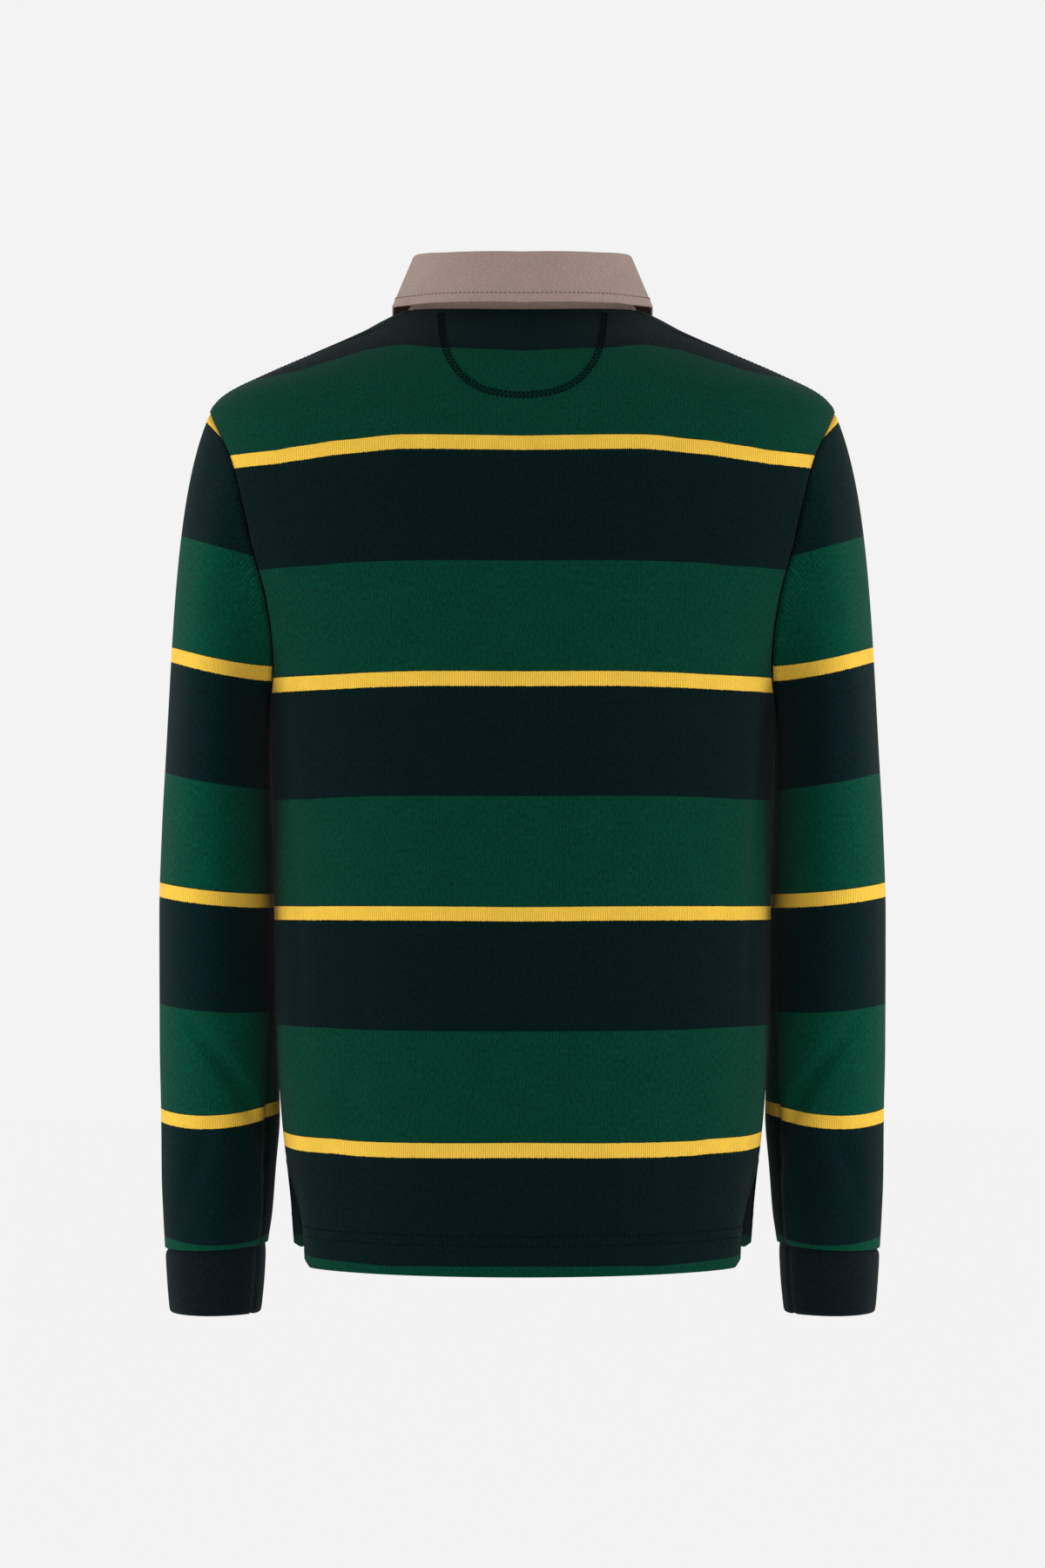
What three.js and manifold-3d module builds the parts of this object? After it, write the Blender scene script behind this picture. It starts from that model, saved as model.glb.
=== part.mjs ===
// A long-sleeved rugby shirt, hollow and filled out as on a wearer, in millimetres with +Z up.
// Its back faces -Y and its front +Y, so +X is the wearer's right-hand side.
// The origin is the middle of the neck opening, level with the sides of the neck.
// Angles round the body and neck are in degrees from the middle of the back, by way of +X.
import * as THREE from "three";
import { mergeVertices } from "three/addons/utils/BufferGeometryUtils.js";
import Module from "manifold-3d";

const DEGREE = Math.PI / 180;

// Cloth thicknesses and the gap left at each seam
const JERSEY = 1.6;
const TWILL = 2.2;
const RIB = 2.4;
const SEAM = 0.3;

// Heights of the main lines of the shirt
const BACK_HEM = -708.3;
const FRONT_HEM = -699;
const VENT_TOP = -630;
const ARMPIT = -300;
const SHOULDER_TIP = -75;

// How far each panel's edge turns back from the side seam at the hem, in degrees, and the power
// by which it turns
const VENT_TURN = { back: 14, front: 2, power: 4 };
// How far the back hem's corners are rounded up, and the share of its width they take
const HEM_CORNER = { rise: 5, share: 0.1 };

// Level sections of the body, from hem to neck. Each is an oval with its own back and front depth.
const BODY = [
  { z: -710, halfWidth: 169, back: 115, front: 107 },
  { z: -677, halfWidth: 171.5, back: 116, front: 107 },
  { z: -645, halfWidth: 174.5, back: 117, front: 107 },
  { z: -599, halfWidth: 179.3, back: 118.5, front: 107 },
  { z: -534, halfWidth: 183.6, back: 120.5, front: 107 },
  { z: -450, halfWidth: 185, back: 123, front: 110 },
  { z: -352, halfWidth: 186.5, back: 126.5, front: 114 },
  { z: -322, halfWidth: 187.6, back: 127.4, front: 115 },
  { z: -300, halfWidth: 189.4, back: 128, front: 115.5 },
  { z: -280, halfWidth: 192.7, back: 128.6, front: 115 },
  { z: -258, halfWidth: 198.4, back: 129.2, front: 113.8 },
  { z: -236, halfWidth: 205.4, back: 129.7, front: 112 },
  { z: -218, halfWidth: 211.6, back: 130, front: 110 },
  { z: -170, halfWidth: 228, back: 129, front: 102 },
  { z: -130, halfWidth: 235.5, back: 126, front: 90 },
  { z: -98, halfWidth: 236, back: 115, front: 78 },
  { z: -75, halfWidth: 233.5, back: 104, front: 66 },
  { z: -66.3, halfWidth: 227.5, back: 99.5, front: 61 },
  { z: -59.8, halfWidth: 219, back: 96.5, front: 57 },
  { z: -46.8, halfWidth: 192, back: 90, front: 50 },
  { z: -33.8, halfWidth: 162, back: 83, front: 43 },
  { z: -20.8, halfWidth: 133, back: 74.5, front: 38 },
  { z: -14.3, halfWidth: 118.8, back: 70.5, front: 36 },
  { z: -7.8, halfWidth: 107, back: 66, front: 34 },
  { z: 5, halfWidth: 81, back: 56, front: 30 },
];

// The oval that the neck opening cuts, seen from above, and the heights it is looked for between
const NECK = { middle: -4, halfWidth: 91, back: 60.3, front: 68, lowest: -110, highest: 4.9 };

// Angle of the shoulder seam, which lies behind the ridge near the neck
const SHOULDER_SEAM = [
  { z: -75, angle: 90 },
  { z: -50, angle: 87 },
  { z: -34, angle: 80 },
  { z: -25, angle: 70 },
  { z: -16, angle: 62 },
  { z: 5, angle: 60 },
];

// How far the armhole's edge reaches back and forward from the side, in degrees, and how much
// squarer than an oval its upper half is
const ARMHOLE = { back: 28, front: 32, square: 0.18 };
// The armhole seam's way through the cloth turns from the panel's normal to the sleeve's as the
// two come together, and its slant makes the cloth no thicker than the least lean allows
const MITRE = { start: 0.4, span: 0.6, leastLean: 0.68 };

// Soft folds of the body: the middle's height and angle, half-length, half-width, depth, and
// how far the fold drifts round for each millimetre down
const BODY_FOLDS = [
  { z: -430, angle: 66, long: 120, wide: 12, depth: 1.6, lean: 0.05 },
  { z: -455, angle: -64, long: 110, wide: 11, depth: 1.4, lean: -0.06 },
  { z: -610, angle: 40, long: 90, wide: 15, depth: 1.8, lean: -0.1 },
  { z: -590, angle: -43, long: 100, wide: 14, depth: 1.6, lean: 0.08 },
  { z: -540, angle: 124, long: 130, wide: 12, depth: 2.2, lean: 0.06 },
  { z: -560, angle: -128, long: 120, wide: 13, depth: 2, lean: -0.08 },
  { z: -690, angle: 77, long: 45, wide: 20, depth: 4, lean: 0 },
  { z: -690, angle: -77, long: 45, wide: 20, depth: 4, lean: 0 },
];

// Rows and columns of the panels and sleeves
const VENT_ROWS = 4;
const SIDE_ROWS = 7;
const ARMHOLE_ROWS = 12;
const SHOULDER_ROWS = 7;
const PANEL_COLUMNS = 22;
const SLEEVE_COLUMNS = 2 * ARMHOLE_ROWS;

// Level sections of the right sleeve below the armhole: inner and outer edge, middle and half-depth
const SLEEVE = [
  { z: -330, inner: 188.6, outer: 267.5, y: 22, depth: 83.5 },
  { z: -385, inner: 187.6, outer: 270.5, y: 22, depth: 79 },
  { z: -450, inner: 186.4, outer: 272.5, y: 22, depth: 73 },
  { z: -547, inner: 184.6, outer: 272.5, y: 26, depth: 63 },
  { z: -599, inner: 182.6, outer: 271.7, y: 29, depth: 57 },
  { z: -645, inner: 186, outer: 271.4, y: 31, depth: 52 },
  { z: -677, inner: 188.4, outer: 270.2, y: 32, depth: 47 },
  { z: -693, inner: 190.6, outer: 269.4, y: 33, depth: 44 },
  { z: -700, inner: 191.6, outer: 269, y: 33, depth: 42.6 },
];
// Heights of the sleeve's rows below the armhole
const SLEEVE_ROWS = [-330, -358, -386, -414, -442, -468, -492, -514, -534, -552, -568, -584, -600,
  -618, -636, -654, -671, -685, -694, -700];

// The sleeve's cap: lines that leave the armhole and arrive at the sleeve's first section, given
// at the top, back, armpit and front as a first step away and a last length down. Its rows are
// closer near the armhole, by a power.
const CAP_ROWS = 8;
const CAP_POWER = 1.4;
const CAP = {
  top: { leave: [24.5, 2, -56], arrive: 110 },
  back: { leave: [24, -2, -16], arrive: 62 },
  pit: { leave: [0.3, 0, 4.5], arrive: 20 },
  front: { leave: [26, 24, -13], arrive: 78 },
};

// Soft folds of a sleeve, with angles round from its outer side by way of the back
const SLEEVE_FOLDS = [
  { z: -563, angle: 102, long: 40, wide: 9, depth: 3, lean: -0.85 },
  { z: -600, angle: 128, long: 44, wide: 8, depth: 2.4, lean: -0.5 },
  { z: -632, angle: 75, long: 40, wide: 9, depth: 1.6, lean: 0.4 },
  { z: -545, angle: 262, long: 46, wide: 9, depth: 3.6, lean: 0.8 },
  { z: -585, angle: 245, long: 40, wide: 8, depth: 2.8, lean: 0.55 },
];

// The sleeve's end rises on its inner side: how far, and the heights where this starts, is full
// and ends
const END_LIFT = { rise: 4, top: -640, seam: -698, bottom: -749 };

// Level sections of the right cuff
const CUFF = [
  { z: -696, inner: 193.8, outer: 266.4, y: 33, depth: 40.4 },
  { z: -700.6, inner: 193.8, outer: 266.7, y: 33, depth: 40.3 },
  { z: -705, inner: 193.4, outer: 268.6, y: 33, depth: 40.6 },
  { z: -722, inner: 194.2, outer: 267.8, y: 33.5, depth: 39.2 },
  { z: -740, inner: 196, outer: 266.4, y: 34, depth: 37.4 },
  { z: -747, inner: 197, outer: 265.4, y: 34, depth: 36.3 },
  { z: -749, inner: 198.6, outer: 263.8, y: 34, depth: 34.7 },
];

// The collar by angle round the neck (z holds the angle): the fold's height, the fall's slope
// from upright, its length, and how far it slides towards the back for each millimetre down
const COLLAR = [
  { z: 0, fold: 33.5, slope: 21, fall: 39.5, slide: 0 },
  { z: 45, fold: 35.5, slope: 22, fall: 38.8, slide: 0 },
  { z: 65, fold: 37.3, slope: 22.5, fall: 39.2, slide: 0 },
  { z: 90, fold: 39, slope: 23, fall: 42, slide: 0 },
  { z: 118, fold: 25, slope: 31, fall: 51, slide: 0.06 },
  { z: 145, fold: -12, slope: 36, fall: 62, slide: 0.2 },
  { z: 168, fold: -42, slope: 30, fall: 68, slide: 0.42 },
  { z: 180, fold: -48, slope: 27, fall: 72, slide: 0.55 },
];
// The oval of the collar's fold, seen from above, and the bend's radius at mid-thickness
const FOLD_OVAL = { middle: -3, halfWidth: 76.5, back: 55.5, front: 58 };
const FOLD_RADIUS = 2.4;
// How far the collar's lower edge is tucked down inside the neck, its gap there, and the gap
// between its ends
const COLLAR_TUCK = 5;
const COLLAR_GAP = 0.5;
const COLLAR_END_GAP = 1.5;
const STAND_ROWS = 4;
const FOLD_ROWS = 5;
const FALL_ROWS = 5;

// The placket: an upper strip over the front, and an under strip set in the front's cut
const PLACKET = { halfWidth: 17, cutHalfWidth: 13 };
const PLACKET_ROW = 6;
const BUTTON = {
  radius: 6, thick: 2.6, edge: 0.7, rim: 1, dish: 0.6, hole: 0.8, holeRing: 1.7, sides: 20, holeSides: 8,
};
const BUTTON_HEIGHTS = [-100, -148, -196];

const COLOURS = {
  jersey: 0x0d3f30,
  sleeve: 0x0f4636,
  twill: 0x988679,
  rib: 0x14191c,
  button: 0x8d8072,
};

const mix = (a, b, t) => a + (b - a) * t;
const vector = (x, y, z) => new THREE.Vector3(x, y, z);
const moved = (point, direction, distance) => point.clone().addScaledVector(direction, distance);

// Smooth value of one column of a table, with no overshoot between its rows.
function read(table, column, at) {
  const last = table.length - 1;
  const rising = table[last].z > table[0].z ? 1 : -1;
  if ((at - table[0].z) * rising <= 0) return table[0][column];
  if ((at - table[last].z) * rising >= 0) return table[last][column];
  let i = 0;
  while ((at - table[i + 1].z) * rising > 0) i++;
  const slope = (k) => (table[k + 1][column] - table[k][column]) / (table[k + 1].z - table[k].z);
  const tangent = (k) => {
    if (k === 0 || k === last) return slope(Math.min(k, last - 1));
    const before = slope(k - 1);
    const after = slope(k);
    return before * after <= 0 ? 0 : (2 * before * after) / (before + after);
  };
  const step = table[i + 1].z - table[i].z;
  const t = (at - table[i].z) / step;
  const u = 1 - t;
  return table[i][column] * u * u * (1 + 2 * t) + tangent(i) * step * t * u * u
    + table[i + 1][column] * t * t * (3 - 2 * t) - tangent(i + 1) * step * t * t * u;
}

// A point on a curve that leaves its start by one handle and comes to its end by another.
function curve(start, startHandle, endHandle, end, t) {
  const u = 1 - t;
  return start.clone().multiplyScalar(u * u * u)
    .addScaledVector(startHandle, 3 * t * u * u)
    .addScaledVector(endHandle, 3 * t * t * u)
    .addScaledVector(end, t * t * t);
}

// Finds where a rising function crosses zero between two values.
function crossing(f, low, high) {
  for (let i = 0; i < 40; i++) {
    const middle = (low + high) / 2;
    if (f(middle) < 0) low = middle;
    else high = middle;
  }
  return (low + high) / 2;
}

// Depth of all soft folds at a place on a round form.
function foldDepth(folds, z, angle, radius) {
  let depth = 0;
  for (const fold of folds) {
    const down = z - fold.z;
    let turn = angle - fold.angle;
    turn -= 360 * Math.round(turn / 360);
    const across = turn * DEGREE * radius - fold.lean * down;
    depth += fold.depth * Math.exp(-((down / fold.long) ** 2) - (across / fold.wide) ** 2);
  }
  return depth;
}

// Outward normal of a surface given as a function of two values.
function normalOf(surface, u, v, du, dv) {
  const along = surface(u + du, v).sub(surface(u - du, v));
  const up = surface(u, v + dv).sub(surface(u, v - dv));
  return along.cross(up).normalize();
}

// A point of the body's outer surface.
function bodyPoint(angle, z) {
  const halfWidth = read(BODY, "halfWidth", z);
  const depth = read(BODY, Math.cos(angle * DEGREE) > 0 ? "back" : "front", z);
  const sunk = 1 - foldDepth(BODY_FOLDS, z, angle, 150) / 150;
  return vector(halfWidth * Math.sin(angle * DEGREE) * sunk,
    -depth * Math.cos(angle * DEGREE) * sunk, z);
}

const bodyNormal = (angle, z) => normalOf(bodyPoint, angle, z, 0.2, 0.5);

// An angle moved off a seam by half the seam's gap.
function besideSeam(angle, z, outward) {
  const speed = bodyPoint(angle + 0.5, z).distanceTo(bodyPoint(angle - 0.5, z));
  return angle + (outward * SEAM) / 2 / speed;
}

// Share of the armhole's reach at a height, from -1 at the armpit to 1 at the shoulder's tip.
function armholeReach(high) {
  const oval = Math.sqrt(1 - high * high);
  const squarer = 2 * ARMHOLE.square * oval * Math.max(0, high) ** 1.5;
  return oval * (1 + squarer);
}

// A place on the armhole, by angle round from the shoulder's tip by way of the back.
function armholePlace(round) {
  const middle = (SHOULDER_TIP + ARMPIT) / 2;
  const high = Math.cos(round * DEGREE);
  const z = middle + ((SHOULDER_TIP - ARMPIT) / 2) * high;
  const reach = Math.sin(round * DEGREE) > 0 ? ARMHOLE.back : -ARMHOLE.front;
  return { angle: 90 - reach * armholeReach(high), z };
}

function armholePoint(round) {
  const { angle, z } = armholePlace(round);
  return bodyPoint(angle, z);
}

// How far the sleeve's end and the cuff's top rise on their inner side.
function endLift(round, z) {
  const { rise, top, seam, bottom } = END_LIFT;
  const inward = ((1 - Math.cos(round * DEGREE)) / 2) ** 2;
  const fade = z > seam ? (z - top) / (seam - top) : (z - bottom) / (seam - bottom);
  return rise * inward * Math.max(0, fade);
}

// A point of the sleeve's tube below the armhole.
function tubePoint(round, z) {
  const inner = read(SLEEVE, "inner", z);
  const outer = read(SLEEVE, "outer", z);
  const sunk = 1 - foldDepth(SLEEVE_FOLDS, z, round, 50) / 50;
  const x = ((outer - inner) / 2) * Math.cos(round * DEGREE) * sunk;
  const y = read(SLEEVE, "depth", z) * Math.sin(round * DEGREE) * sunk;
  return vector((inner + outer) / 2 + x, read(SLEEVE, "y", z) - y, z + endLift(round, z));
}

// A point of the sleeve's cap, from 0 at the armhole to 1 at the tube's top.
function capPoint(round, share) {
  const start = armholePoint(round);
  const end = tubePoint(round, SLEEVE_ROWS[0]);
  const up = end.clone().sub(tubePoint(round, SLEEVE_ROWS[0] - 4)).normalize();
  const cos = Math.cos(round * DEGREE);
  const sin = Math.sin(round * DEGREE);
  const weights = [[cos > 0 ? CAP.top : CAP.pit, cos * cos], [sin > 0 ? CAP.back : CAP.front, sin * sin]];
  const leave = vector(0, 0, 0);
  let arrive = 0;
  for (const [line, weight] of weights) {
    leave.addScaledVector(vector(...line.leave), weight);
    arrive += line.arrive * weight;
  }
  return curve(start, start.clone().add(leave), moved(end, up, arrive), end, share);
}

// A point of the sleeve by row: the cap's rows first, then those of the tube.
function sleevePoint(round, row) {
  const from = CAP_ROWS;
  if (row <= from) return capPoint(round, (row / CAP_ROWS) ** CAP_POWER);
  const along = Math.min(row - from, SLEEVE_ROWS.length - 1);
  const i = Math.min(Math.floor(along), SLEEVE_ROWS.length - 2);
  return tubePoint(round, mix(SLEEVE_ROWS[i], SLEEVE_ROWS[i + 1], along - i));
}

// Outward normal of the sleeve at a row.
function sleeveNormal(round, row) {
  const last = CAP_ROWS + SLEEVE_ROWS.length - 1;
  const here = Math.min(Math.max(row, 0.05), last - 0.05);
  const surface = (a, r) => sleevePoint(a, r);
  return normalOf(surface, round, here, 2, 0.05);
}

// The armhole's seam at one place: its point, the way through the cloth that both pieces share,
// the way from the panel to the sleeve, and the cloth's slanted thickness.
function armholeSeam(round) {
  const { angle, z } = armholePlace(round);
  const body = bodyNormal(angle, z);
  const sleeve = sleeveNormal(round, 0.1);
  const point = armholePoint(round);
  const along = armholePoint(round + 2).sub(armholePoint(round - 2)).normalize();
  const share = Math.min(1, Math.max(0, (body.dot(sleeve) + MITRE.start) / MITRE.span));
  const out = body.clone().addScaledVector(sleeve, share);
  out.addScaledVector(along, -out.dot(along)).normalize();
  const thick = JERSEY / Math.max(MITRE.leastLean, out.dot(body));
  const across = along.clone().cross(out).normalize();
  const towards = sleevePoint(round, 1).sub(point);
  if (across.dot(towards) < 0) across.negate();
  return { point, out, across, thick };
}

// Heights of the rows along a panel's edge, from its hem to the neck.
function edgeHeights(hem) {
  const heights = [];
  for (let j = 0; j < VENT_ROWS; j++) heights.push(mix(hem, VENT_TOP, j / VENT_ROWS));
  for (let j = 0; j < SIDE_ROWS; j++) heights.push(mix(VENT_TOP, ARMPIT, j / SIDE_ROWS));
  for (let j = 0; j < ARMHOLE_ROWS; j++) {
    heights.push(armholePlace(180 - (180 * j) / ARMHOLE_ROWS).z);
  }
  const top = neckHeight((z) => read(SHOULDER_SEAM, "angle", z));
  for (let j = 0; j <= SHOULDER_ROWS; j++) heights.push(mix(SHOULDER_TIP, top, j / SHOULDER_ROWS));
  return heights;
}

const ARMPIT_ROW = VENT_ROWS + SIDE_ROWS;
const TIP_ROW = ARMPIT_ROW + ARMHOLE_ROWS;

// How far a point lies outside the neck's oval, as a share.
function outsideNeck(point) {
  const depth = point.y < NECK.middle ? NECK.back : NECK.front;
  return (point.x / NECK.halfWidth) ** 2 + ((point.y - NECK.middle) / depth) ** 2 - 1;
}

// Height at which a line up the body meets the neck opening.
const neckHeight = (angleAt) => crossing((z) => -outsideNeck(bodyPoint(angleAt(z), z)),
  NECK.lowest, NECK.highest);

// Angle of a panel's side edge at a height.
function edgeAngle(z, side) {
  const outward = side === "back" ? -1 : 1;
  if (z >= SHOULDER_TIP) return besideSeam(read(SHOULDER_SEAM, "angle", z), z, outward);
  if (z > ARMPIT) {
    const middle = (SHOULDER_TIP + ARMPIT) / 2;
    const high = (z - middle) / ((SHOULDER_TIP - ARMPIT) / 2);
    return 90 + outward * ARMHOLE[side] * armholeReach(high);
  }
  const open = Math.min(1, Math.max(0, (VENT_TOP - z) / (VENT_TOP - BACK_HEM)));
  const turn = VENT_TURN[side] * (1 - (1 - open) ** VENT_TURN.power);
  return besideSeam(90 + outward * turn, z, outward);
}

// Angle of a panel's column at a height. The front's middle columns run beside the placket's cut.
function columnAngle(column, z, side) {
  const half = PANEL_COLUMNS / 2;
  const from = column - half;
  const edge = edgeAngle(z, side);
  if (side === "back") return edge * (from / half);
  const cut = Math.asin((PLACKET.cutHalfWidth + SEAM) / read(BODY, "halfWidth", z)) / DEGREE;
  if (Math.abs(from) <= 1) return 180 - from * cut;
  return 180 - Math.sign(from) * mix(cut, 180 - edge, (Math.abs(from) - 1) / (half - 1));
}

// A panel's places row by row from the hem, each an angle and a height.
function panelPlaces(side) {
  const hem = side === "back" ? BACK_HEM : FRONT_HEM;
  const heights = edgeHeights(hem);
  const top = heights.at(-1);
  const places = heights.map(() => []);
  for (let i = 0; i <= PANEL_COLUMNS; i++) {
    const columnTop = neckHeight((z) => columnAngle(i, z, side));
    const sideways = Math.abs(i - PANEL_COLUMNS / 2) / (PANEL_COLUMNS / 2);
    heights.forEach((height, j) => {
      let z = height;
      const corner = Math.max(0, sideways - 1 + HEM_CORNER.share) / HEM_CORNER.share;
      if (j < VENT_ROWS) z += HEM_CORNER.rise * corner * (1 - j / VENT_ROWS);
      if (j > ARMPIT_ROW && sideways < 1) z = mix(ARMPIT, columnTop, (height - ARMPIT) / (top - ARMPIT));
      places[j].push({ angle: columnAngle(i, z, side), z });
    });
  }
  return places;
}

// Builds a closed wall from matching outer and inner grids of points, with rims at its edges.
function wall(outer, inner, { closed = false, skip = () => false } = {}) {
  const rows = outer.length;
  const columns = outer[0].length;
  const points = [...outer.flat(), ...inner.flat()];
  const at = (row, column, layer) => (layer * rows + row) * columns + (column % columns);
  const cells = closed ? columns : columns - 1;
  const present = (row, column) => {
    const inRange = row >= 0 && row < rows - 1 && (closed || (column >= 0 && column < cells));
    return inRange && !skip(row, (column + cells) % cells);
  };
  const faces = [];
  const quad = (a, b, c, d) => {
    if (points[a].distanceTo(points[c]) <= points[b].distanceTo(points[d])) {
      faces.push(a, b, c, a, c, d);
    } else {
      faces.push(a, b, d, b, c, d);
    }
  };
  const rim = (row, column, nextRow, nextColumn) => quad(at(row, column, 0),
    at(row, column, 1), at(nextRow, nextColumn, 1), at(nextRow, nextColumn, 0));
  for (let row = 0; row < rows - 1; row++) {
    for (let column = 0; column < cells; column++) {
      if (!present(row, column)) continue;
      const corners = [[row, column], [row, column + 1], [row + 1, column + 1], [row + 1, column]];
      quad(...corners.map(([r, c]) => at(r, c, 0)));
      quad(...corners.map(([r, c]) => at(r, c, 1)).reverse());
      if (!present(row - 1, column)) rim(row, column, row, column + 1);
      if (!present(row, column + 1)) rim(row, column + 1, row + 1, column + 1);
      if (!present(row + 1, column)) rim(row + 1, column + 1, row + 1, column);
      if (!present(row, column - 1)) rim(row + 1, column, row, column);
    }
  }
  return solidGeometry(points, faces);
}

// A geometry from points and faces, turned so that its faces point out.
function solidGeometry(points, faces) {
  let volume = 0;
  for (let i = 0; i < faces.length; i += 3) {
    const [a, b, c] = [points[faces[i]], points[faces[i + 1]], points[faces[i + 2]]];
    volume += a.dot(b.clone().cross(c)) / 6;
  }
  if (volume < 0) faces.reverse();
  const used = [...new Set(faces)];
  const place = new Map(used.map((old, i) => [old, i]));
  const geometry = new THREE.BufferGeometry().setFromPoints(used.map((i) => points[i]));
  geometry.setIndex(faces.map((i) => place.get(i)));
  geometry.computeVertexNormals();
  return geometry;
}

// A named piece with its own finish.
function piece(name, geometry, colour, roughness = 0.9) {
  const finish = new THREE.MeshStandardMaterial({ color: colour, roughness, metalness: 0 });
  const mesh = new THREE.Mesh(geometry, finish);
  mesh.name = name;
  return mesh;
}

// A front or back panel: its places, its outer points and its wall.
function panel(side) {
  const places = panelPlaces(side);
  const outer = places.map((row) => row.map(({ angle, z }) => bodyPoint(angle, z)));
  const inner = places.map((row, j) => row.map(({ angle, z }, i) =>
    moved(outer[j][i], bodyNormal(angle, z), -JERSEY)));
  for (let j = ARMPIT_ROW; j <= TIP_ROW; j++) {
    for (const i of [0, PANEL_COLUMNS]) {
      const turn = 180 - (180 * (j - ARMPIT_ROW)) / ARMHOLE_ROWS;
      const seam = armholeSeam(side === "back" ? turn : 360 - turn);
      const onRight = outer[j][i].x > 0;
      const flip = vector(onRight ? 1 : -1, 1, 1);
      const across = seam.across.clone().multiply(flip);
      outer[j][i] = moved(outer[j][i], across, -SEAM / 2);
      inner[j][i] = moved(outer[j][i], seam.out.clone().multiply(flip), -seam.thick);
    }
  }
  const skip = (row, column) => side === "front" && row >= ARMPIT_ROW + PLACKET_ROW
    && Math.abs(column + 0.5 - PANEL_COLUMNS / 2) < 1;
  return { places, outer, geometry: wall(outer, inner, { skip }) };
}

// The right sleeve.
function sleeve() {
  const outer = [];
  const inner = [];
  const last = CAP_ROWS + SLEEVE_ROWS.length - 1;
  for (let row = 0; row <= last; row++) {
    const rounds = Array.from({ length: SLEEVE_COLUMNS }, (_, i) => (360 * i) / SLEEVE_COLUMNS);
    if (row === 0) {
      const seams = rounds.map((round) => armholeSeam(round));
      outer.push(seams.map(({ point, across }) => moved(point, across, SEAM / 2)));
      inner.push(seams.map(({ out, thick }, i) => moved(outer[0][i], out, -thick)));
      continue;
    }
    outer.push(rounds.map((round) => sleevePoint(round, row)));
    inner.push(rounds.map((round, i) => moved(outer[row][i], sleeveNormal(round, row), -JERSEY)));
  }
  return wall(outer, inner, { closed: true });
}

// The right cuff.
function cuff() {
  const ring = ({ z, inner, outer, y, depth }, thick) =>
    Array.from({ length: SLEEVE_COLUMNS }, (_, i) => {
      const round = (360 * i) / SLEEVE_COLUMNS;
      const halfWidth = (outer - inner) / 2 - thick;
      return vector((inner + outer) / 2 + halfWidth * Math.cos(round * DEGREE),
        y - (depth - thick) * Math.sin(round * DEGREE), z + endLift(round, z));
    });
  return wall(CUFF.map((section) => ring(section, 0)), CUFF.map((section) => ring(section, RIB)),
    { closed: true });
}

// Places round the neck's edge, from one end of the collar by way of the back to the other.
function neckPlaces(front, back) {
  const half = PANEL_COLUMNS / 2;
  const frontRow = front.places.at(-1);
  const end = (sign) => {
    const angle = 180 - (sign * COLLAR_END_GAP) / 2 / read(BODY, "halfWidth", ARMPIT) / DEGREE;
    return { angle, z: neckHeight(() => angle) };
  };
  const right = frontRow.slice(half + 1, PANEL_COLUMNS);
  const left = frontRow.slice(1, half).map(({ angle, z }) => ({ angle: angle - 360, z }));
  const first = end(-1);
  return [{ angle: first.angle - 360, z: first.z }, ...left.reverse(), ...back.places.at(-1),
    ...right.reverse(), end(1)];
}

// One line of the collar, standing on a place of the neck's edge.
function collarLine({ angle, z }) {
  const base = bodyPoint(angle, z);
  const depth = base.y < NECK.middle ? NECK.back : NECK.front;
  const round = Math.atan2(base.x / NECK.halfWidth, -(base.y - NECK.middle) / depth);
  const turn = Math.abs(round) / DEGREE;
  const topDepth = Math.cos(round) > 0 ? FOLD_OVAL.back : FOLD_OVAL.front;
  const top = vector(FOLD_OVAL.halfWidth * Math.sin(round),
    FOLD_OVAL.middle - topDepth * Math.cos(round), read(COLLAR, "fold", turn));
  const out = vector(Math.sin(round) / FOLD_OVAL.halfWidth, -Math.cos(round) / topDepth, 0).normalize();
  const normal = bodyNormal(angle, z);
  const up = vector(-normal.z * out.x, -normal.z * out.y, out.dot(normal)).normalize();
  const start = moved(base, normal, -JERSEY - COLLAR_GAP - TWILL / 2);
  const backward = vector(-out.y, out.x, 0).multiplyScalar(-Math.sign(round));
  return { start: moved(start, up, -COLLAR_TUCK), neck: start, up, top, out, turn, backward };
}

// Points of one collar line at mid-thickness, from its tucked edge over the fold to its tip.
function collarProfile(line) {
  const points = [line.start];
  const rise = (line.top.z - line.neck.z) / 3;
  for (let row = 0; row <= STAND_ROWS; row++) {
    points.push(curve(line.neck, moved(line.neck, line.up, rise),
      moved(line.top, vector(0, 0, 1), -rise), line.top, row / STAND_ROWS));
  }
  const slope = read(COLLAR, "slope", line.turn) * DEGREE;
  for (let row = 1; row <= FOLD_ROWS; row++) {
    const turned = ((Math.PI - slope) * row) / FOLD_ROWS;
    const point = moved(line.top, line.out, FOLD_RADIUS * (1 - Math.cos(turned)));
    points.push(point.setZ(line.top.z + FOLD_RADIUS * Math.sin(turned)));
  }
  const from = points.at(-1);
  const fall = read(COLLAR, "fall", line.turn);
  const slide = read(COLLAR, "slide", line.turn);
  for (let row = 1; row <= FALL_ROWS; row++) {
    const down = (fall * row) / FALL_ROWS;
    const point = moved(from, line.out, down * Math.sin(slope));
    point.addScaledVector(line.backward, down * slide);
    points.push(point.setZ(from.z - down * Math.cos(slope)));
  }
  return points;
}

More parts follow.
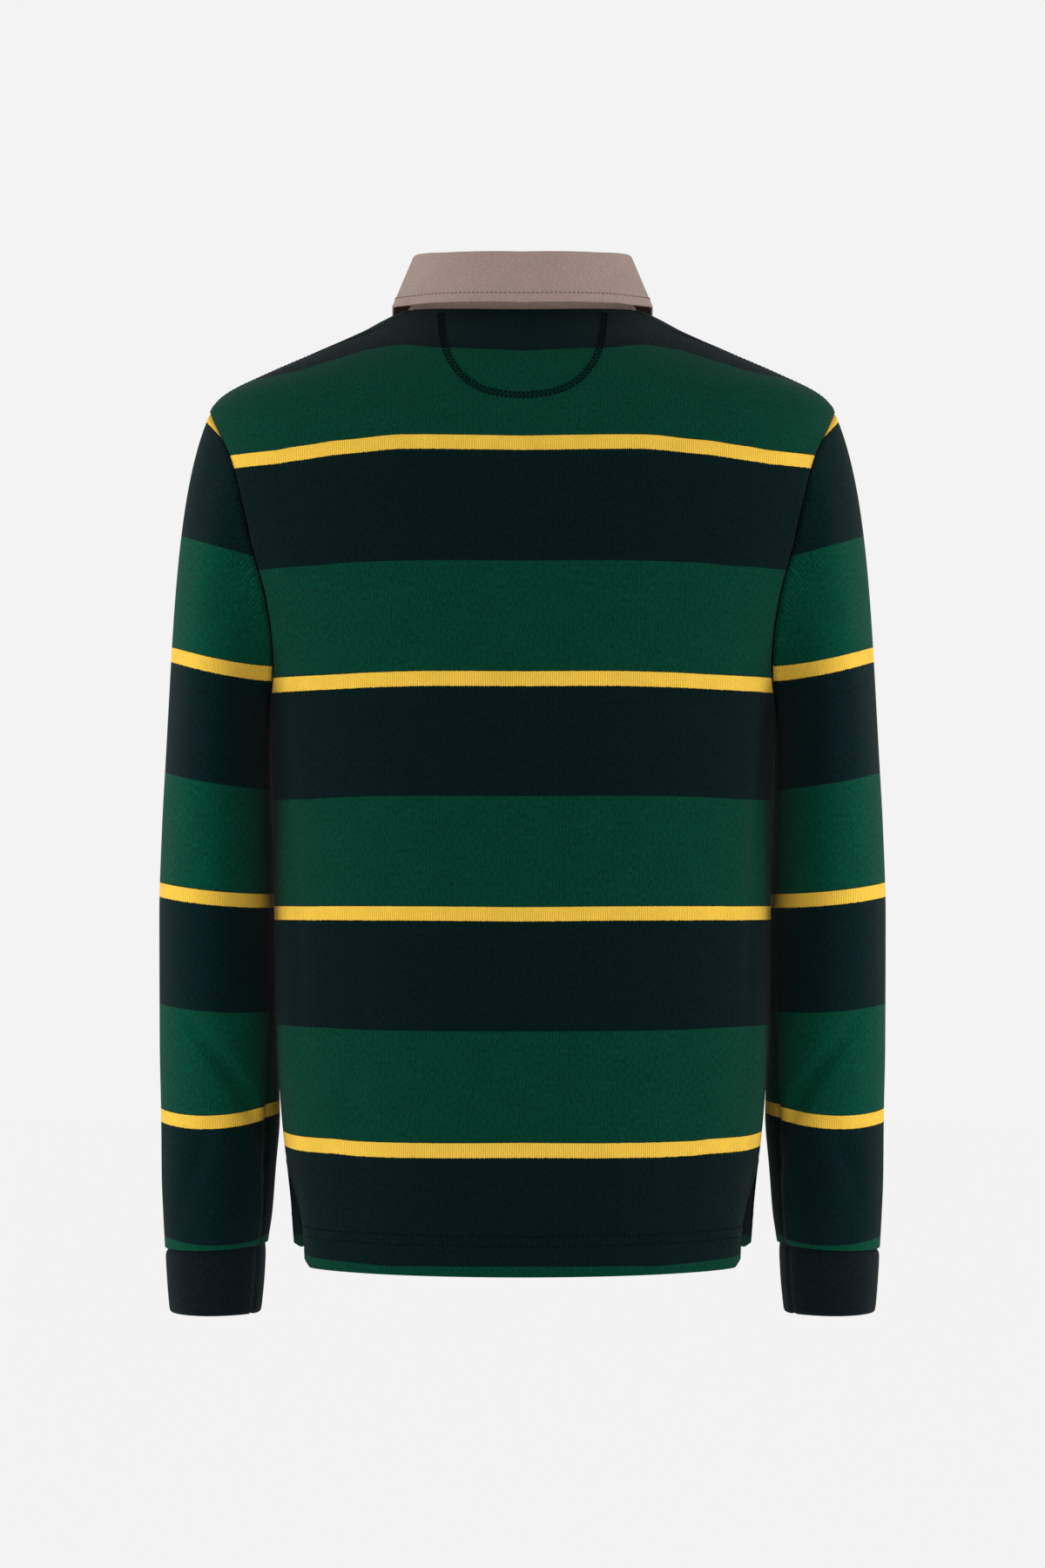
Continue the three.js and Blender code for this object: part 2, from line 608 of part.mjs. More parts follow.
// The collar, one strip folded over.
function collar(front, back) {
  const columns = neckPlaces(front, back).map((place) => collarProfile(collarLine(place)));
  const rows = columns[0].map((_, j) => columns.map((column) => column[j]));
  const last = { row: rows.length - 1, column: columns.length - 1 };
  const face = (j, i) => {
    const along = rows[j][Math.min(i + 1, last.column)].clone().sub(rows[j][Math.max(i - 1, 0)]);
    const up = rows[Math.min(j + 1, last.row)][i].clone().sub(rows[Math.max(j - 1, 0)][i]);
    return along.cross(up).normalize();
  };
  const side = (distance) => rows.map((row, j) => row.map((point, i) =>
    moved(point, face(j, i), distance)));
  return wall(side(TWILL / 2), side(-TWILL / 2));
}

// A strip on the front panel's own facets, as wide as asked and lifted off them.
function placketStrip(front, halfWidth, lift, thick) {
  const half = PANEL_COLUMNS / 2;
  const first = ARMPIT_ROW + PLACKET_ROW;
  const outer = [];
  const inner = [];
  for (let j = first; j < front.outer.length; j++) {
    const row = front.outer[j].map((point) => moved(point, vector(0, 0, 1), j === first ? SEAM : 0));
    const side = (sign) => {
      const near = row[half + sign];
      if (halfWidth < PLACKET.cutHalfWidth) {
        return [row[half].clone().lerp(near, halfWidth / Math.abs(near.x))];
      }
      const next = row[half + 2 * sign];
      const share = (halfWidth - Math.abs(near.x)) / Math.abs(next.x - near.x);
      return [near, near.clone().lerp(next, share)];
    };
    const points = [...side(-1).reverse(), row[half], ...side(1)];
    const { angle, z } = front.places[j][half];
    const normal = bodyNormal(angle, z);
    outer.push(points.map((point) => moved(point, normal, lift + thick)));
    inner.push(points.map((point) => moved(point, normal, lift)));
  }
  return wall(outer, inner);
}

// A solid for cutting, from a closed geometry.
function manifoldOf(wasm, geometry) {
  const bare = geometry.clone();
  bare.deleteAttribute("normal");
  bare.deleteAttribute("uv");
  const merged = mergeVertices(bare, 1e-4);
  return new wasm.Manifold(new wasm.Mesh({
    numProp: 3,
    vertProperties: new Float32Array(merged.attributes.position.array),
    triVerts: new Uint32Array(merged.index.array),
  }));
}

// A four-hole button lying on the placket.
function button(wasm, number, height) {
  const { radius, thick, edge, rim, dish, hole, holeRing, sides, holeSides } = BUTTON;
  const profile = [[0, 0], [radius - edge, 0], [radius, edge], [radius, thick - edge],
    [radius - edge / 2, thick - edge / 4], [radius - rim, thick], [radius - 2 * rim, thick - dish],
    [0, thick - dish]];
  const disc = new THREE.LatheGeometry(profile.map(([x, y]) => new THREE.Vector2(x, y)), sides);
  let solid = manifoldOf(wasm, disc);
  for (let i = 0; i < 4; i++) {
    const turn = (i + 0.5) * 90 * DEGREE;
    const drill = new THREE.CylinderGeometry(hole, hole, 3 * thick, holeSides);
    drill.translate(holeRing * Math.cos(turn), thick / 2, holeRing * Math.sin(turn));
    solid = solid.subtract(manifoldOf(wasm, drill));
  }
  const { vertProperties, triVerts } = solid.getMesh();
  const geometry = new THREE.BufferGeometry();
  geometry.setAttribute("position", new THREE.BufferAttribute(new Float32Array(vertProperties), 3));
  geometry.setIndex([...triVerts]);
  geometry.computeVertexNormals();
  const normal = bodyNormal(180, height);
  const mesh = piece("button_" + number, geometry, COLOURS.button, 0.5);
  mesh.position.copy(moved(bodyPoint(180, height), normal, 2 * SEAM + JERSEY));
  mesh.quaternion.setFromUnitVectors(vector(0, 1, 0), normal);
  return mesh;
}

// The left-hand copy of a piece built for the right.
function mirrored(geometry) {
  const copy = geometry.clone();
  copy.scale(-1, 1, 1);
  copy.setIndex([...copy.index.array].reverse());
  copy.computeVertexNormals();
  return copy;
}

const wasm = await Module();
wasm.setup();

const shirt = new THREE.Group();
const back = panel("back");
const front = panel("front");
const rightSleeve = sleeve();
const rightCuff = cuff();
shirt.add(piece("back_panel", back.geometry, COLOURS.jersey));
shirt.add(piece("front_panel", front.geometry, COLOURS.jersey));
shirt.add(piece("sleeve_right", rightSleeve, COLOURS.sleeve));
shirt.add(piece("sleeve_left", mirrored(rightSleeve), COLOURS.sleeve));
shirt.add(piece("cuff_right", rightCuff, COLOURS.rib));
shirt.add(piece("cuff_left", mirrored(rightCuff), COLOURS.rib));
shirt.add(piece("collar", collar(front, back), COLOURS.twill));
shirt.add(piece("placket_upper", placketStrip(front, PLACKET.halfWidth, SEAM, JERSEY), COLOURS.twill));
shirt.add(piece("placket_under",
  placketStrip(front, PLACKET.cutHalfWidth - SEAM, -JERSEY, JERSEY), COLOURS.twill));
BUTTON_HEIGHTS.forEach((height, i) => shirt.add(button(wasm, i + 1, height)));

export default shirt;
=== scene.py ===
import math

import bpy
import numpy as np
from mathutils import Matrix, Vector


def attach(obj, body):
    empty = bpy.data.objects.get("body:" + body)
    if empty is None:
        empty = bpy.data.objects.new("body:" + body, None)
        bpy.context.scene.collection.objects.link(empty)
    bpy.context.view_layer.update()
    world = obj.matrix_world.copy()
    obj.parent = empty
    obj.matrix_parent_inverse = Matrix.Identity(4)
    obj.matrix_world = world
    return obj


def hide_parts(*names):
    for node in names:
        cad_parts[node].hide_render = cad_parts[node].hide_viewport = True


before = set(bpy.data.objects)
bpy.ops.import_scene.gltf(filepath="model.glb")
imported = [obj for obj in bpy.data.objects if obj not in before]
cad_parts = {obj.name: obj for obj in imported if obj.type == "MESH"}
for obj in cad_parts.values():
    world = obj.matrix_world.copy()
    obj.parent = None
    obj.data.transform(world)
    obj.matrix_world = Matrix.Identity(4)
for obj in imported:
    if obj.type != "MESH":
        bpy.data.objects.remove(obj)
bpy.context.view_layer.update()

JERSEY = 1.6
TWILL = 2.2
RIB = 2.4
SEAM_HALF = 0.12

BACK_HEM = -708.3
FRONT_HEM = -699.0
VENT_TOP = -630.0
ARMPIT = -300.0
SHOULDER_TIP = -75.0
VENT_TURN = {"back": 14.0, "front": 2.0}
VENT_POWER = 4
CORNER_RISE = 5.0
CORNER_SHARE = 0.1
PANEL_HALF_COLUMNS = 11
CUT_HALF_WIDTH = 13.3
PLACKET_HALF_WIDTH = 17.0
PLACKET_ROW = 6
PLACKET_LIFT = 0.3
# Depth of the hem's turned-up edge and the heights of its two rows of stitches above the edge
HEM_DEPTH = 31.0
HEM_ROWS = (22.3, 29.4)
# The shoulder seam's rows of stitches: distances in from the seam, and where they end
SHOULDER_INSETS = (2.4, 5.4)
SHOULDER_TOP = -18.0
# How wide the vent's turned edge is, how far it stands up and how softly it ends
VENT_EDGE = {"width": 7.0, "raised": 0.35, "soft": 0.6}
# Sewn relief: a seam's dip, the ridge beside it, the step of a turned hem and a row of stitches
SEAM_DIP = {"deep": 0.6, "wide": 2.6}
SEAM_RIDGE = {"high": 0.3, "inset": 5.5, "wide": 1.8}
HEM_STEP = {"high": 0.35, "soft": 0.8}
ROW_DIP = {"deep": 0.3, "wide": 1.2}
# Two lengths of the uneven pucker along a seam, on the body and round the armhole
BODY_PUCKER = (5.5, 17.0)
SLEEVE_PUCKER = (6.0, 9.0)
# Stitches: length, gap, radius and how far they stand above the cloth
STITCHES = {
    "half_moon": (2.3, 0.9, 0.7, 0.1), "hem": (2.3, 1.5, 0.42, 0.0), "shoulder": (2.3, 1.0, 0.34, 0.0),
    "collar": (2.2, 1.2, 0.36, 0.05), "placket": (2.5, 0.9, 0.24, 0.0)}
# Rings of a stitch: share of its length, share of its radius and rise in radii; and its sides
STITCH_RINGS = ((0, 0.35, -0.6), (0.2, 0.95, 0.2), (0.5, 1, 0.5), (0.8, 0.95, 0.2), (1, 0.35, -0.6))
STITCH_SIDES = 6


class Table:
    """Smooth values between the rows of a table, with no overshoot."""

    def __init__(self, names, rows):
        data = np.array(sorted(rows), float)
        self.at = data[:, 0]
        self.columns = {name: data[:, i + 1] for i, name in enumerate(names)}
        self.tangents = {name: self._tangents(values) for name, values in self.columns.items()}

    def _tangents(self, values):
        slope = np.diff(values) / np.diff(self.at)
        tangent = np.zeros(len(values))
        tangent[0] = slope[0]
        tangent[-1] = slope[-1]
        before, after = slope[:-1], slope[1:]
        same = before * after > 0
        middle = np.zeros(len(before))
        middle[same] = 2 * before[same] * after[same] / (before[same] + after[same])
        tangent[1:-1] = middle
        return tangent

    def __call__(self, name, at):
        at = np.clip(at, self.at[0], self.at[-1])
        i = np.clip(np.searchsorted(self.at, at, side="right") - 1, 0, len(self.at) - 2)
        step = self.at[i + 1] - self.at[i]
        t = (at - self.at[i]) / step
        u = 1 - t
        values = self.columns[name]
        tangent = self.tangents[name]
        return (values[i] * u * u * (1 + 2 * t) + tangent[i] * step * t * u * u
                + values[i + 1] * t * t * (3 - 2 * t) - tangent[i + 1] * step * t * t * u)


BODY = Table(("half_width", "back", "front"), (
    (-710, 169, 115, 107), (-677, 171.5, 116, 107), (-645, 174.5, 117, 107),
    (-599, 179.3, 118.5, 107), (-534, 183.6, 120.5, 107), (-450, 185, 123, 110),
    (-352, 186.5, 126.5, 114), (-322, 187.6, 127.4, 115), (-300, 189.4, 128, 115.5),
    (-280, 192.7, 128.6, 115), (-258, 198.4, 129.2, 113.8), (-236, 205.4, 129.7, 112),
    (-218, 211.6, 130, 110), (-170, 228, 129, 102), (-130, 235.5, 126, 90), (-98, 236, 115, 78),
    (-75, 233.5, 104, 66), (-66.3, 227.5, 99.5, 61), (-59.8, 219, 96.5, 57),
    (-46.8, 192, 90, 50), (-33.8, 162, 83, 43), (-20.8, 133, 74.5, 38), (-14.3, 118.8, 70.5, 36),
    (-7.8, 107, 66, 34), (5, 81, 56, 30)))
SHOULDER_SEAM = Table(("angle",), (
    (-75, 90), (-50, 87), (-34, 80), (-25, 70), (-16, 62), (5, 60)))
ARMHOLE = {"back": 28.0, "front": 32.0}
ARMHOLE_SQUARE = 0.18
NECK_MIDDLE, NECK_HALF_WIDTH, NECK_BACK, NECK_FRONT = -4.0, 91.0, 60.3, 68.0

SLEEVE = Table(("inner", "outer", "y", "depth"), (
    (-330, 188.6, 267.5, 22, 83.5), (-385, 187.6, 270.5, 22, 79), (-450, 186.4, 272.5, 22, 73),
    (-547, 184.6, 272.5, 26, 63), (-599, 182.6, 271.7, 29, 57), (-645, 186, 271.4, 31, 52),
    (-677, 188.4, 270.2, 32, 47), (-693, 190.6, 269.4, 33, 44), (-700, 191.6, 269, 33, 42.6)))
TUBE_TOP, TUBE_END = -330.0, -700.0
# How the cap leaves the armhole at its four sides, and how far up it comes into the sleeve
CAP = {
    "top": ((24.5, 2, -56), 110), "back": ((24, -2, -16), 62),
    "pit": ((0.3, 0, 4.5), 20), "front": ((26, 24, -13), 78)}
# How far the sleeve's end rises on its inner side, and the heights between which it does
END_LIFT = {"rise": 4.0, "top": -640.0, "seam": -698.0, "bottom": -749.0}
CUFF = Table(("inner", "outer", "y", "depth"), (
    (-696, 193.8, 266.4, 33, 40.4), (-700.6, 193.8, 266.7, 33, 40.3), (-705, 193.4, 268.6, 33, 40.6),
    (-722, 194.2, 267.8, 33.5, 39.2), (-740, 196, 266.4, 34, 37.4), (-747, 197, 265.4, 34, 36.3),
    (-749, 198.6, 263.8, 34, 34.7)))
# The sleeve seam's dip, which deepens down the forearm with a hollow beside it, and the cuff's; the dip's
# shade is how much wider the painted shadow beside the seam grows down the forearm
SLEEVE_DIP = {"deep": 0.5, "deeper": 1.3, "wide": 3.2, "shade": 1.5}
HOLLOW = {"deep": 1.5, "inset": 4.0, "wide": 9.0}
FOREARM = {"top": -560.0, "soft": 14.0}
CUFF_DIP = {"deep": 1.1, "wide": 1.9, "angle": 149.0}
CUFF_WAVE = {"deep": 0.17, "round": 17.0, "up": 30.0}
SLEEVE_RADIUS = {"seam": 45.0, "map": 52.0}
CUFF_RADIUS = 36.0

COLLAR = Table(("fold", "slope", "fall", "slide"), (
    (0, 33.5, 21, 39.5, 0), (45, 35.5, 22, 39.6, 0), (65, 37.3, 22.5, 41, 0), (90, 39, 23, 40.2, 0),
    (118, 25, 31, 50, 0.06), (145, -12, 36, 62, 0.2), (168, -42, 30, 68, 0.42), (180, -48, 27, 72, 0.55)))
FOLD_MIDDLE, FOLD_HALF_WIDTH, FOLD_BACK, FOLD_FRONT = -3.0, 76.5, 55.5, 58.0
FOLD_RADIUS = 2.4
COLLAR_TUCK = 5.0
COLLAR_GAP = 0.5
COLLAR_END_GAP = 1.5
COLLAR_END_RADIUS = 189.0
COLLAR_INSET = 7.0
# The placket's rows of stitches: distance from its middle, top, bottom and the two rows across it
PLACKET_ROWS = {"half": 14.5, "top": -84.0, "bottom": -209.0, "across": (-211.0, -206.0)}
# A button's profile from the middle of its back to the middle of its face: radius and height
BUTTON_PROFILE = ((5.2, 0.0), (5.8, 0.35), (6.0, 0.9), (6.0, 1.7), (5.8, 2.3), (5.4, 2.6), (4.9, 2.55),
                  (4.3, 2.1), (3.6, 2.0))
BUTTON_FACE = 2.0
BUTTON_SIDES = 48
BUTTON_LIFT = 0.62
BUTTON_HEIGHTS = (-100.0, -148.0, -196.0)
BUTTON_HOLES = {"count": 4, "radius": 0.85, "from_middle": 1.7, "sides": 16, "deep": 20.0}
BUTTON_THREAD = {"half": 1.2, "height": 2.1, "length": 2.3, "radius": 0.3}

# Folds: z and angle of the middle, half-length, half-width, depth, drift round per mm down
BODY_FOLDS = (
    (-430, 66, 120, 12, 1.6, 0.05), (-455, -64, 110, 11, 1.4, -0.06),
    (-610, 40, 90, 15, 1.8, -0.1), (-590, -43, 100, 14, 1.6, 0.08),
    (-540, 124, 130, 12, 2.2, 0.06), (-560, -128, 120, 13, 2, -0.08),
    (-690, 77, 45, 20, 4, 0), (-690, -77, 45, 20, 4, 0))
SLEEVE_FOLDS = (
    (-563, 102, 40, 9, 3, -0.85), (-600, 128, 44, 8, 2.4, -0.5), (-632, 75, 40, 9, 1.6, 0.4),
    (-545, 262, 46, 9, 3.6, 0.8), (-585, 245, 40, 8, 2.8, 0.55))

# The striped pattern counted in repeats: the share of a repeat where each colour starts, from the
# bottom of its dark stripe up. The yellow stripe has a thin dark line along its top.
PATTERN = (("dark", 0.0), ("yellow", 0.4665), ("dark", 0.5292), ("green", 0.5331))
YELLOW, GREEN = 0.4667, 0.5294
# Heights in mm at which the pattern reaches a count of repeats, at the middle of the back
BODY_STRIPES = (
    (-760, -0.35), (-700.3, 0), (-622.8, YELLOW), (-612.1, GREEN), (-532.1, 1),
    (-453.5, 1 + YELLOW), (-443.5, 1 + GREEN), (-363.7, 2), (-285.4, 2 + YELLOW),
    (-274.8, 2 + GREEN), (-195.3, 3), (-115.5, 3 + YELLOW), (-104.7, 3 + GREEN), (-39.1, 4), (10, 4.3))
SLEEVE_STRIPES = (
    (-760, -0.35), (-695.2, 0), (-607.4, YELLOW), (-597.6, GREEN), (-521.2, 1),
    (-442.9, 1 + YELLOW), (-432.6, 1 + GREEN), (-353.6, 2), (-273.4, 2 + YELLOW),
    (-262.6, 2 + GREEN), (-179.8, 3), (-101.5, 3 + YELLOW), (-90, 3 + GREEN), (-30, 3.9))
REPEAT = 0.168
# Share of the flecks that the yellow stripe lacks
YELLOW_CALM = 0.8
# How far the stripes stand above their height at the middle of the back, by height and angle
STRIPE_ANGLES = (0, 22, 34, 44, 50, 57, 64, 90)
STRIPE_RISE = Table(STRIPE_ANGLES, (
    (-710, 0, -0.6, -1.8, -1, -0.5, 0, 0.4, 1.5), (-612, 0, -0.8, -1, -1, 0, 0, 0, 1.8),
    (-532, 0, 0, 0, 0.4, 0.9, 1, 1.1, 1.5), (-443, 0, 0.5, 0.5, 0.4, 0.3, 0, 0, -0.3),
    (-363, 0, 0.4, 0.5, 0, -0.5, -1.2, -1.3, -0.9), (-275, 0, 0.6, 0.2, -0.5, -0.7, -0.8, -0.7, -0.6),
    (-195, 0, 0.8, 0.4, -1, -1.2, -1.6, -1.9, -2), (-105, 0, 1.9, -1.2, -4.5, -6.4, -7.4, -7.8, -8),
    (-39, 0, 3.2, 6.8, 3.9, -3.1, -10.7, -13.5, -15), (10, 0, 3, 6.8, 3.9, -3.1, -10.7, -13.5, -15)))
# On a sleeve: a lift, a tilt towards the body and a bend, by height
SLEEVE_TILT = Table(("lift", "tilt", "bend"), (
    (-700, 0, -0.8, 4.8), (-597, 0, -4, 5.5), (-521, 0, 2.4, 2), (-432, 0, 4, 1.6),
    (-353, 0, 6.1, 2.2), (-262, 0, 8, 3.5), (-180, 0, 11.8, 1), (-90, 4, 43, 0), (-60, 4, 43, 0)))
# The sleeve's own seam, by height: its angle round from the outer side
SLEEVE_SEAM = Table(("angle",), (
    (-750, 148), (-700, 155), (-650, 152), (-596, 147), (-500, 163), (-300, 180), (-200, 180)))
# The stripes' step at the sleeve's seam: its height, how it fades and where it starts
STRIPE_STEP = {"high": 1.2, "fades": 50.0, "below": -560.0, "over": 20.0}
# How far across the sleeve the tilt still grows, its shift, and its smaller reach at the cap
TILT_REACH = {"across": 1.1, "shift": 0.14, "most": 1.24, "less": 0.64, "above": -150.0, "over": 40.0}
# The front's stripes are lower at its hem, by the difference of the two hems
FRONT_DROP = {"below": -655.0, "over": 30.0}
FAR_FROM_SEAM = 100.0

COLOURS = {
    "green": (0.0007, 0.0305, 0.0172), "dark": (0.0011, 0.0066, 0.0071), "yellow": (0.62, 0.385, 0.044),
    "twill": (0.285, 0.214, 0.180), "rib": (0.0034, 0.0066, 0.0083), "thread": (0.001, 0.0038, 0.004),
    "twill_thread": (0.105, 0.076, 0.062), "button": (0.23, 0.18, 0.14)}

# Knit: noise scales per metre, how far each layer darkens and lightens, and its share of the relief
YARN = {"scale": 620, "detail": 4, "stretch": (1, 0.5, 1), "tint": (0.62, 1.42), "relief": 0.6}
CLOUDS = {"scale": 45, "detail": 3, "tint": (0.93, 1.07)}
WALES = {"wander": 0.0012, "tint": (0.84, 1.16), "relief": 0.6}
COURSES = {"spacing": 0.8, "relief": 0.25}
# Edges of the stripes: how ragged the yarn and the wales make them, in metres; the painted shadow beside the
# seams: how dark it is and how far it reaches
RAGGED = {"yarn": 0.0012, "wales": 0.0005}
PAINTED_SEAM_SHADOW = {"dark": 0.55, "reach": 0.0045}
# Twill: the same kinds of values, and where the painted light at the foot starts and ends
TWILL_YARN = {"scale": 1100, "detail": 3, "stretch": (0.4, 1, 1), "tint": (0.78, 1.22), "relief": 0.5}
TWILL_CLOUDS = {"scale": 60, "detail": 3, "tint": (0.96, 1.04)}
TWILL_RIBS = {"spacing": 0.0011, "slant": 1.4, "tint": (0.92, 1.08), "relief": 0.6}
PAINTED_LIGHT_FOOT = (0.014, 0.03)
TWILL_DEEP = 0.00016
THREAD_TINT = (0.85, 1.15)
KNIT_FINISH = {"Roughness": 0.95, "Specular IOR Level": 0.02, "Sheen Roughness": 0.45}
TWILL_FINISH = {"Roughness": 0.88, "Specular IOR Level": 0.1, "Sheen Weight": 0.06}

# Lines of the meshes: rows up a panel by stretch, columns across, and the same for the tubes
PANEL_LINES = {"vent": 25, "side": 71, "armhole": 73, "shoulder": 29, "across": 111}
SLEEVE_LINES = {"round": 112, "cap": 49, "tube": 104}
CUFF_LINES = {"round": 120, "up": 28}
COLLAR_LINES = {"round": 241, "stand": 13, "fold": 13, "fall": 20}
PLACKET_LINES = {"up": 60, "across": 25}
MOON_LINES = {"line": 400, "zigzag": 118}
NEAR_ENDS = (0.2, 0.6, 1.2)
CUFF_NEAR_ENDS = (0.1, 0.4, 1)
STRIP_NEAR_ENDS = (0.1, 0.4, 0.9)
MOON_WIDTH = {"rows": 1.9, "zigzag": 1.8}

# Studio, in metres and watts; the lights named in pairs stand on both hands
FLOOR = {"height": -1.45, "reach": 14, "grey": 0.06, "glow": 0.84}
WORLD_STRENGTH = 0.896
PAIRED_LIGHTS = (
    ("side", (1.15, -0.4, -0.38), (0.2, 0, -0.4), (0.5, 1.5), 9.5),
    ("front", (1.6, -2.4, 0.8), (0, 0, -0.35), (1.2, 1.8), 1))
TOP_LIGHT = ("above", (0, -0.7, 1.5), (0, 0, -0.1), (1.6, 1.0), 1.5)
CAMERA = {"lens": 92.3, "sensor": 36, "place": (0, -3.0, -0.4173), "tilt": 1.241}

VENT_ROWS, SIDE_ROWS, ARMHOLE_ROWS, SHOULDER_ROWS = 4, 7, 12, 7
ARMPIT_ROW = VENT_ROWS + SIDE_ROWS
TIP_ROW = ARMPIT_ROW + ARMHOLE_ROWS
NECK_ROW = TIP_ROW + SHOULDER_ROWS


def sin(angle):
    return np.sin(np.radians(angle))


def cos(angle):
    return np.cos(np.radians(angle))


def mix(a, b, t):
    return a + (b - a) * t


def unit(vectors):
    return vectors / np.maximum(np.linalg.norm(vectors, axis=-1, keepdims=True), 1e-12)


def bell(distance, wide):
    return np.exp(-((distance / wide) ** 2))


def soft_step(distance, soft):
    """From 1 below to 0 above."""
    return 1 / (1 + np.exp(distance / soft))


def puckered(first, second):
    return 0.75 + 0.25 * np.sin(first) * np.sin(second)


def points(x, y, z):
    return np.stack(np.broadcast_arrays(x, y, z), axis=-1).astype(float)


def fold_depth(folds, z, angle, radius):
    depth = 0.0
    for at, middle, long, wide, deep, lean in folds:
        down = z - at
        turn = angle - middle
        turn = turn - 360 * np.round(turn / 360)
        across = np.radians(turn) * radius - lean * down
        depth = depth + deep * np.exp(-((down / long) ** 2) - (across / wide) ** 2)
    return depth


def body_point(angle, z):
    angle, z = np.broadcast_arrays(np.asarray(angle, float), np.asarray(z, float))
    half_width = BODY("half_width", z)
    depth = np.where(cos(angle) > 0, BODY("back", z), BODY("front", z))
    sunk = 1 - fold_depth(BODY_FOLDS, z, angle, 150) / 150
    return points(half_width * sin(angle) * sunk, -depth * cos(angle) * sunk, z)


def body_normal(angle, z):
    along = body_point(angle + 0.2, z) - body_point(angle - 0.2, z)
    up = body_point(angle, z + 0.5) - body_point(angle, z - 0.5)
    return unit(np.cross(along, up))


def beside(angle, z, distance):
    """The angle at a distance in mm round the body from another."""
    speed = np.linalg.norm(body_point(angle + 0.5, z) - body_point(angle - 0.5, z), axis=-1)
    return angle + distance / speed


def crossing(function, low, high):
    for _ in range(40):
        middle = (low + high) / 2
        below = function(middle) < 0
        low = np.where(below, middle, low)
        high = np.where(below, high, middle)
    return (low + high) / 2


def outside_neck(place):
    depth = np.where(place[..., 1] < NECK_MIDDLE, NECK_BACK, NECK_FRONT)
    across = place[..., 0] / NECK_HALF_WIDTH
    return across ** 2 + ((place[..., 1] - NECK_MIDDLE) / depth) ** 2 - 1


def neck_height(angle_at, count):
    low = np.full(count, -110.0)
    high = np.full(count, 4.9)
    return crossing(lambda z: -outside_neck(body_point(angle_at(z), z)), low, high)


def armhole_reach(high):
    """How far the armhole's edge reaches, from 0 to 1, by height from -1 to 1."""
    oval = np.sqrt(np.clip(1 - high * high, 0, 1))
    return oval * (1 + 2 * ARMHOLE_SQUARE * oval * np.maximum(high, 0) ** 1.5)


def edge_angle(z, side):
    outward = -1 if side == "back" else 1
    middle = (SHOULDER_TIP + ARMPIT) / 2
    high = np.clip((z - middle) / ((SHOULDER_TIP - ARMPIT) / 2), -1, 1)
    armhole = 90 + outward * ARMHOLE[side] * armhole_reach(high)
    opened = np.clip((VENT_TOP - z) / (VENT_TOP - BACK_HEM), 0, 1)
    turned = 90 + outward * VENT_TURN[side] * (1 - (1 - opened) ** VENT_POWER)
    low = beside(turned, z, outward * SEAM_HALF)
    top = beside(SHOULDER_SEAM("angle", z), z, outward * SEAM_HALF)
    return np.where(z >= SHOULDER_TIP, top, np.where(z > ARMPIT, armhole, low))


def column_angle(share, z, side):
    """Angle of a column, share being -1 and 1 at the panel's sides."""
    edge = edge_angle(z, side)
    if side == "back":
        return edge * share
    first = 1 / PANEL_HALF_COLUMNS
    cut = np.degrees(np.arcsin(CUT_HALF_WIDTH / BODY("half_width", z)))
    beyond = mix(cut, 180 - edge, np.clip((np.abs(share) - first) / (1 - first), 0, 1))
    return 180 - np.where(np.abs(share) <= first, share / first * cut, np.sign(share) * beyond)


def armhole_place(turn):
    middle = (SHOULDER_TIP + ARMPIT) / 2
    z = middle + (SHOULDER_TIP - ARMPIT) / 2 * cos(turn)
    reach = np.where(sin(turn) > 0, ARMHOLE["back"], -ARMHOLE["front"])
    return 90 - reach * armhole_reach(cos(turn)), z


def armhole_point(turn):
    angle, z = armhole_place(turn)
    return body_point(angle, z)


def edge_height(row, hem, top):
    """Height at a panel's side edge, by row from the hem to the neck."""
    vent = mix(hem, VENT_TOP, row / VENT_ROWS)
    side = mix(VENT_TOP, ARMPIT, (row - VENT_ROWS) / SIDE_ROWS)
    armhole = armhole_place(180 - 180 * (row - ARMPIT_ROW) / ARMHOLE_ROWS)[1]
    shoulder = mix(SHOULDER_TIP, top, (row - TIP_ROW) / SHOULDER_ROWS)
    return np.select([row < VENT_ROWS, row < ARMPIT_ROW, row < TIP_ROW], [vent, side, armhole], shoulder)


def panel_grid(side, rows, shares):
    """Angles and heights of a panel's grid."""
    hem = BACK_HEM if side == "back" else FRONT_HEM
    top = neck_height(lambda z: SHOULDER_SEAM("angle", z), 1)[0]
    heights = edge_height(rows, hem, top)[:, None]
    share = shares[None, :]
    column_tops = neck_height(lambda z: column_angle(shares, z, side), len(shares))[None, :]
    inward = mix(ARMPIT, column_tops, (heights - ARMPIT) / (top - ARMPIT))
    at_edge = np.abs(share) >= 1
    z = np.where((heights > ARMPIT) & ~at_edge, inward, heights)
    corner = np.clip(np.abs(share) - 1 + CORNER_SHARE, 0, 1) / CORNER_SHARE
    z = z + CORNER_RISE * corner * np.clip(1 - rows[:, None] / VENT_ROWS, 0, 1)
    return column_angle(share, z, side), z


def end_lift(turn, z):
    """How far the sleeve's end and the cuff's top rise on their inner side."""
    inward = ((1 - cos(turn)) / 2) ** 2
    above = (z - END_LIFT["top"]) / (END_LIFT["seam"] - END_LIFT["top"])
    below = (z - END_LIFT["bottom"]) / (END_LIFT["seam"] - END_LIFT["bottom"])
    return END_LIFT["rise"] * inward * np.maximum(0, np.where(z > END_LIFT["seam"], above, below))


def tube_point(turn, z):
    inner, outer = SLEEVE("inner", z), SLEEVE("outer", z)
    sunk = 1 - fold_depth(SLEEVE_FOLDS, z, turn, 50) / 50
    x = (outer - inner) / 2 * cos(turn) * sunk
    y = SLEEVE("depth", z) * sin(turn) * sunk
    return points((inner + outer) / 2 + x, SLEEVE("y", z) - y, z + end_lift(turn, z))


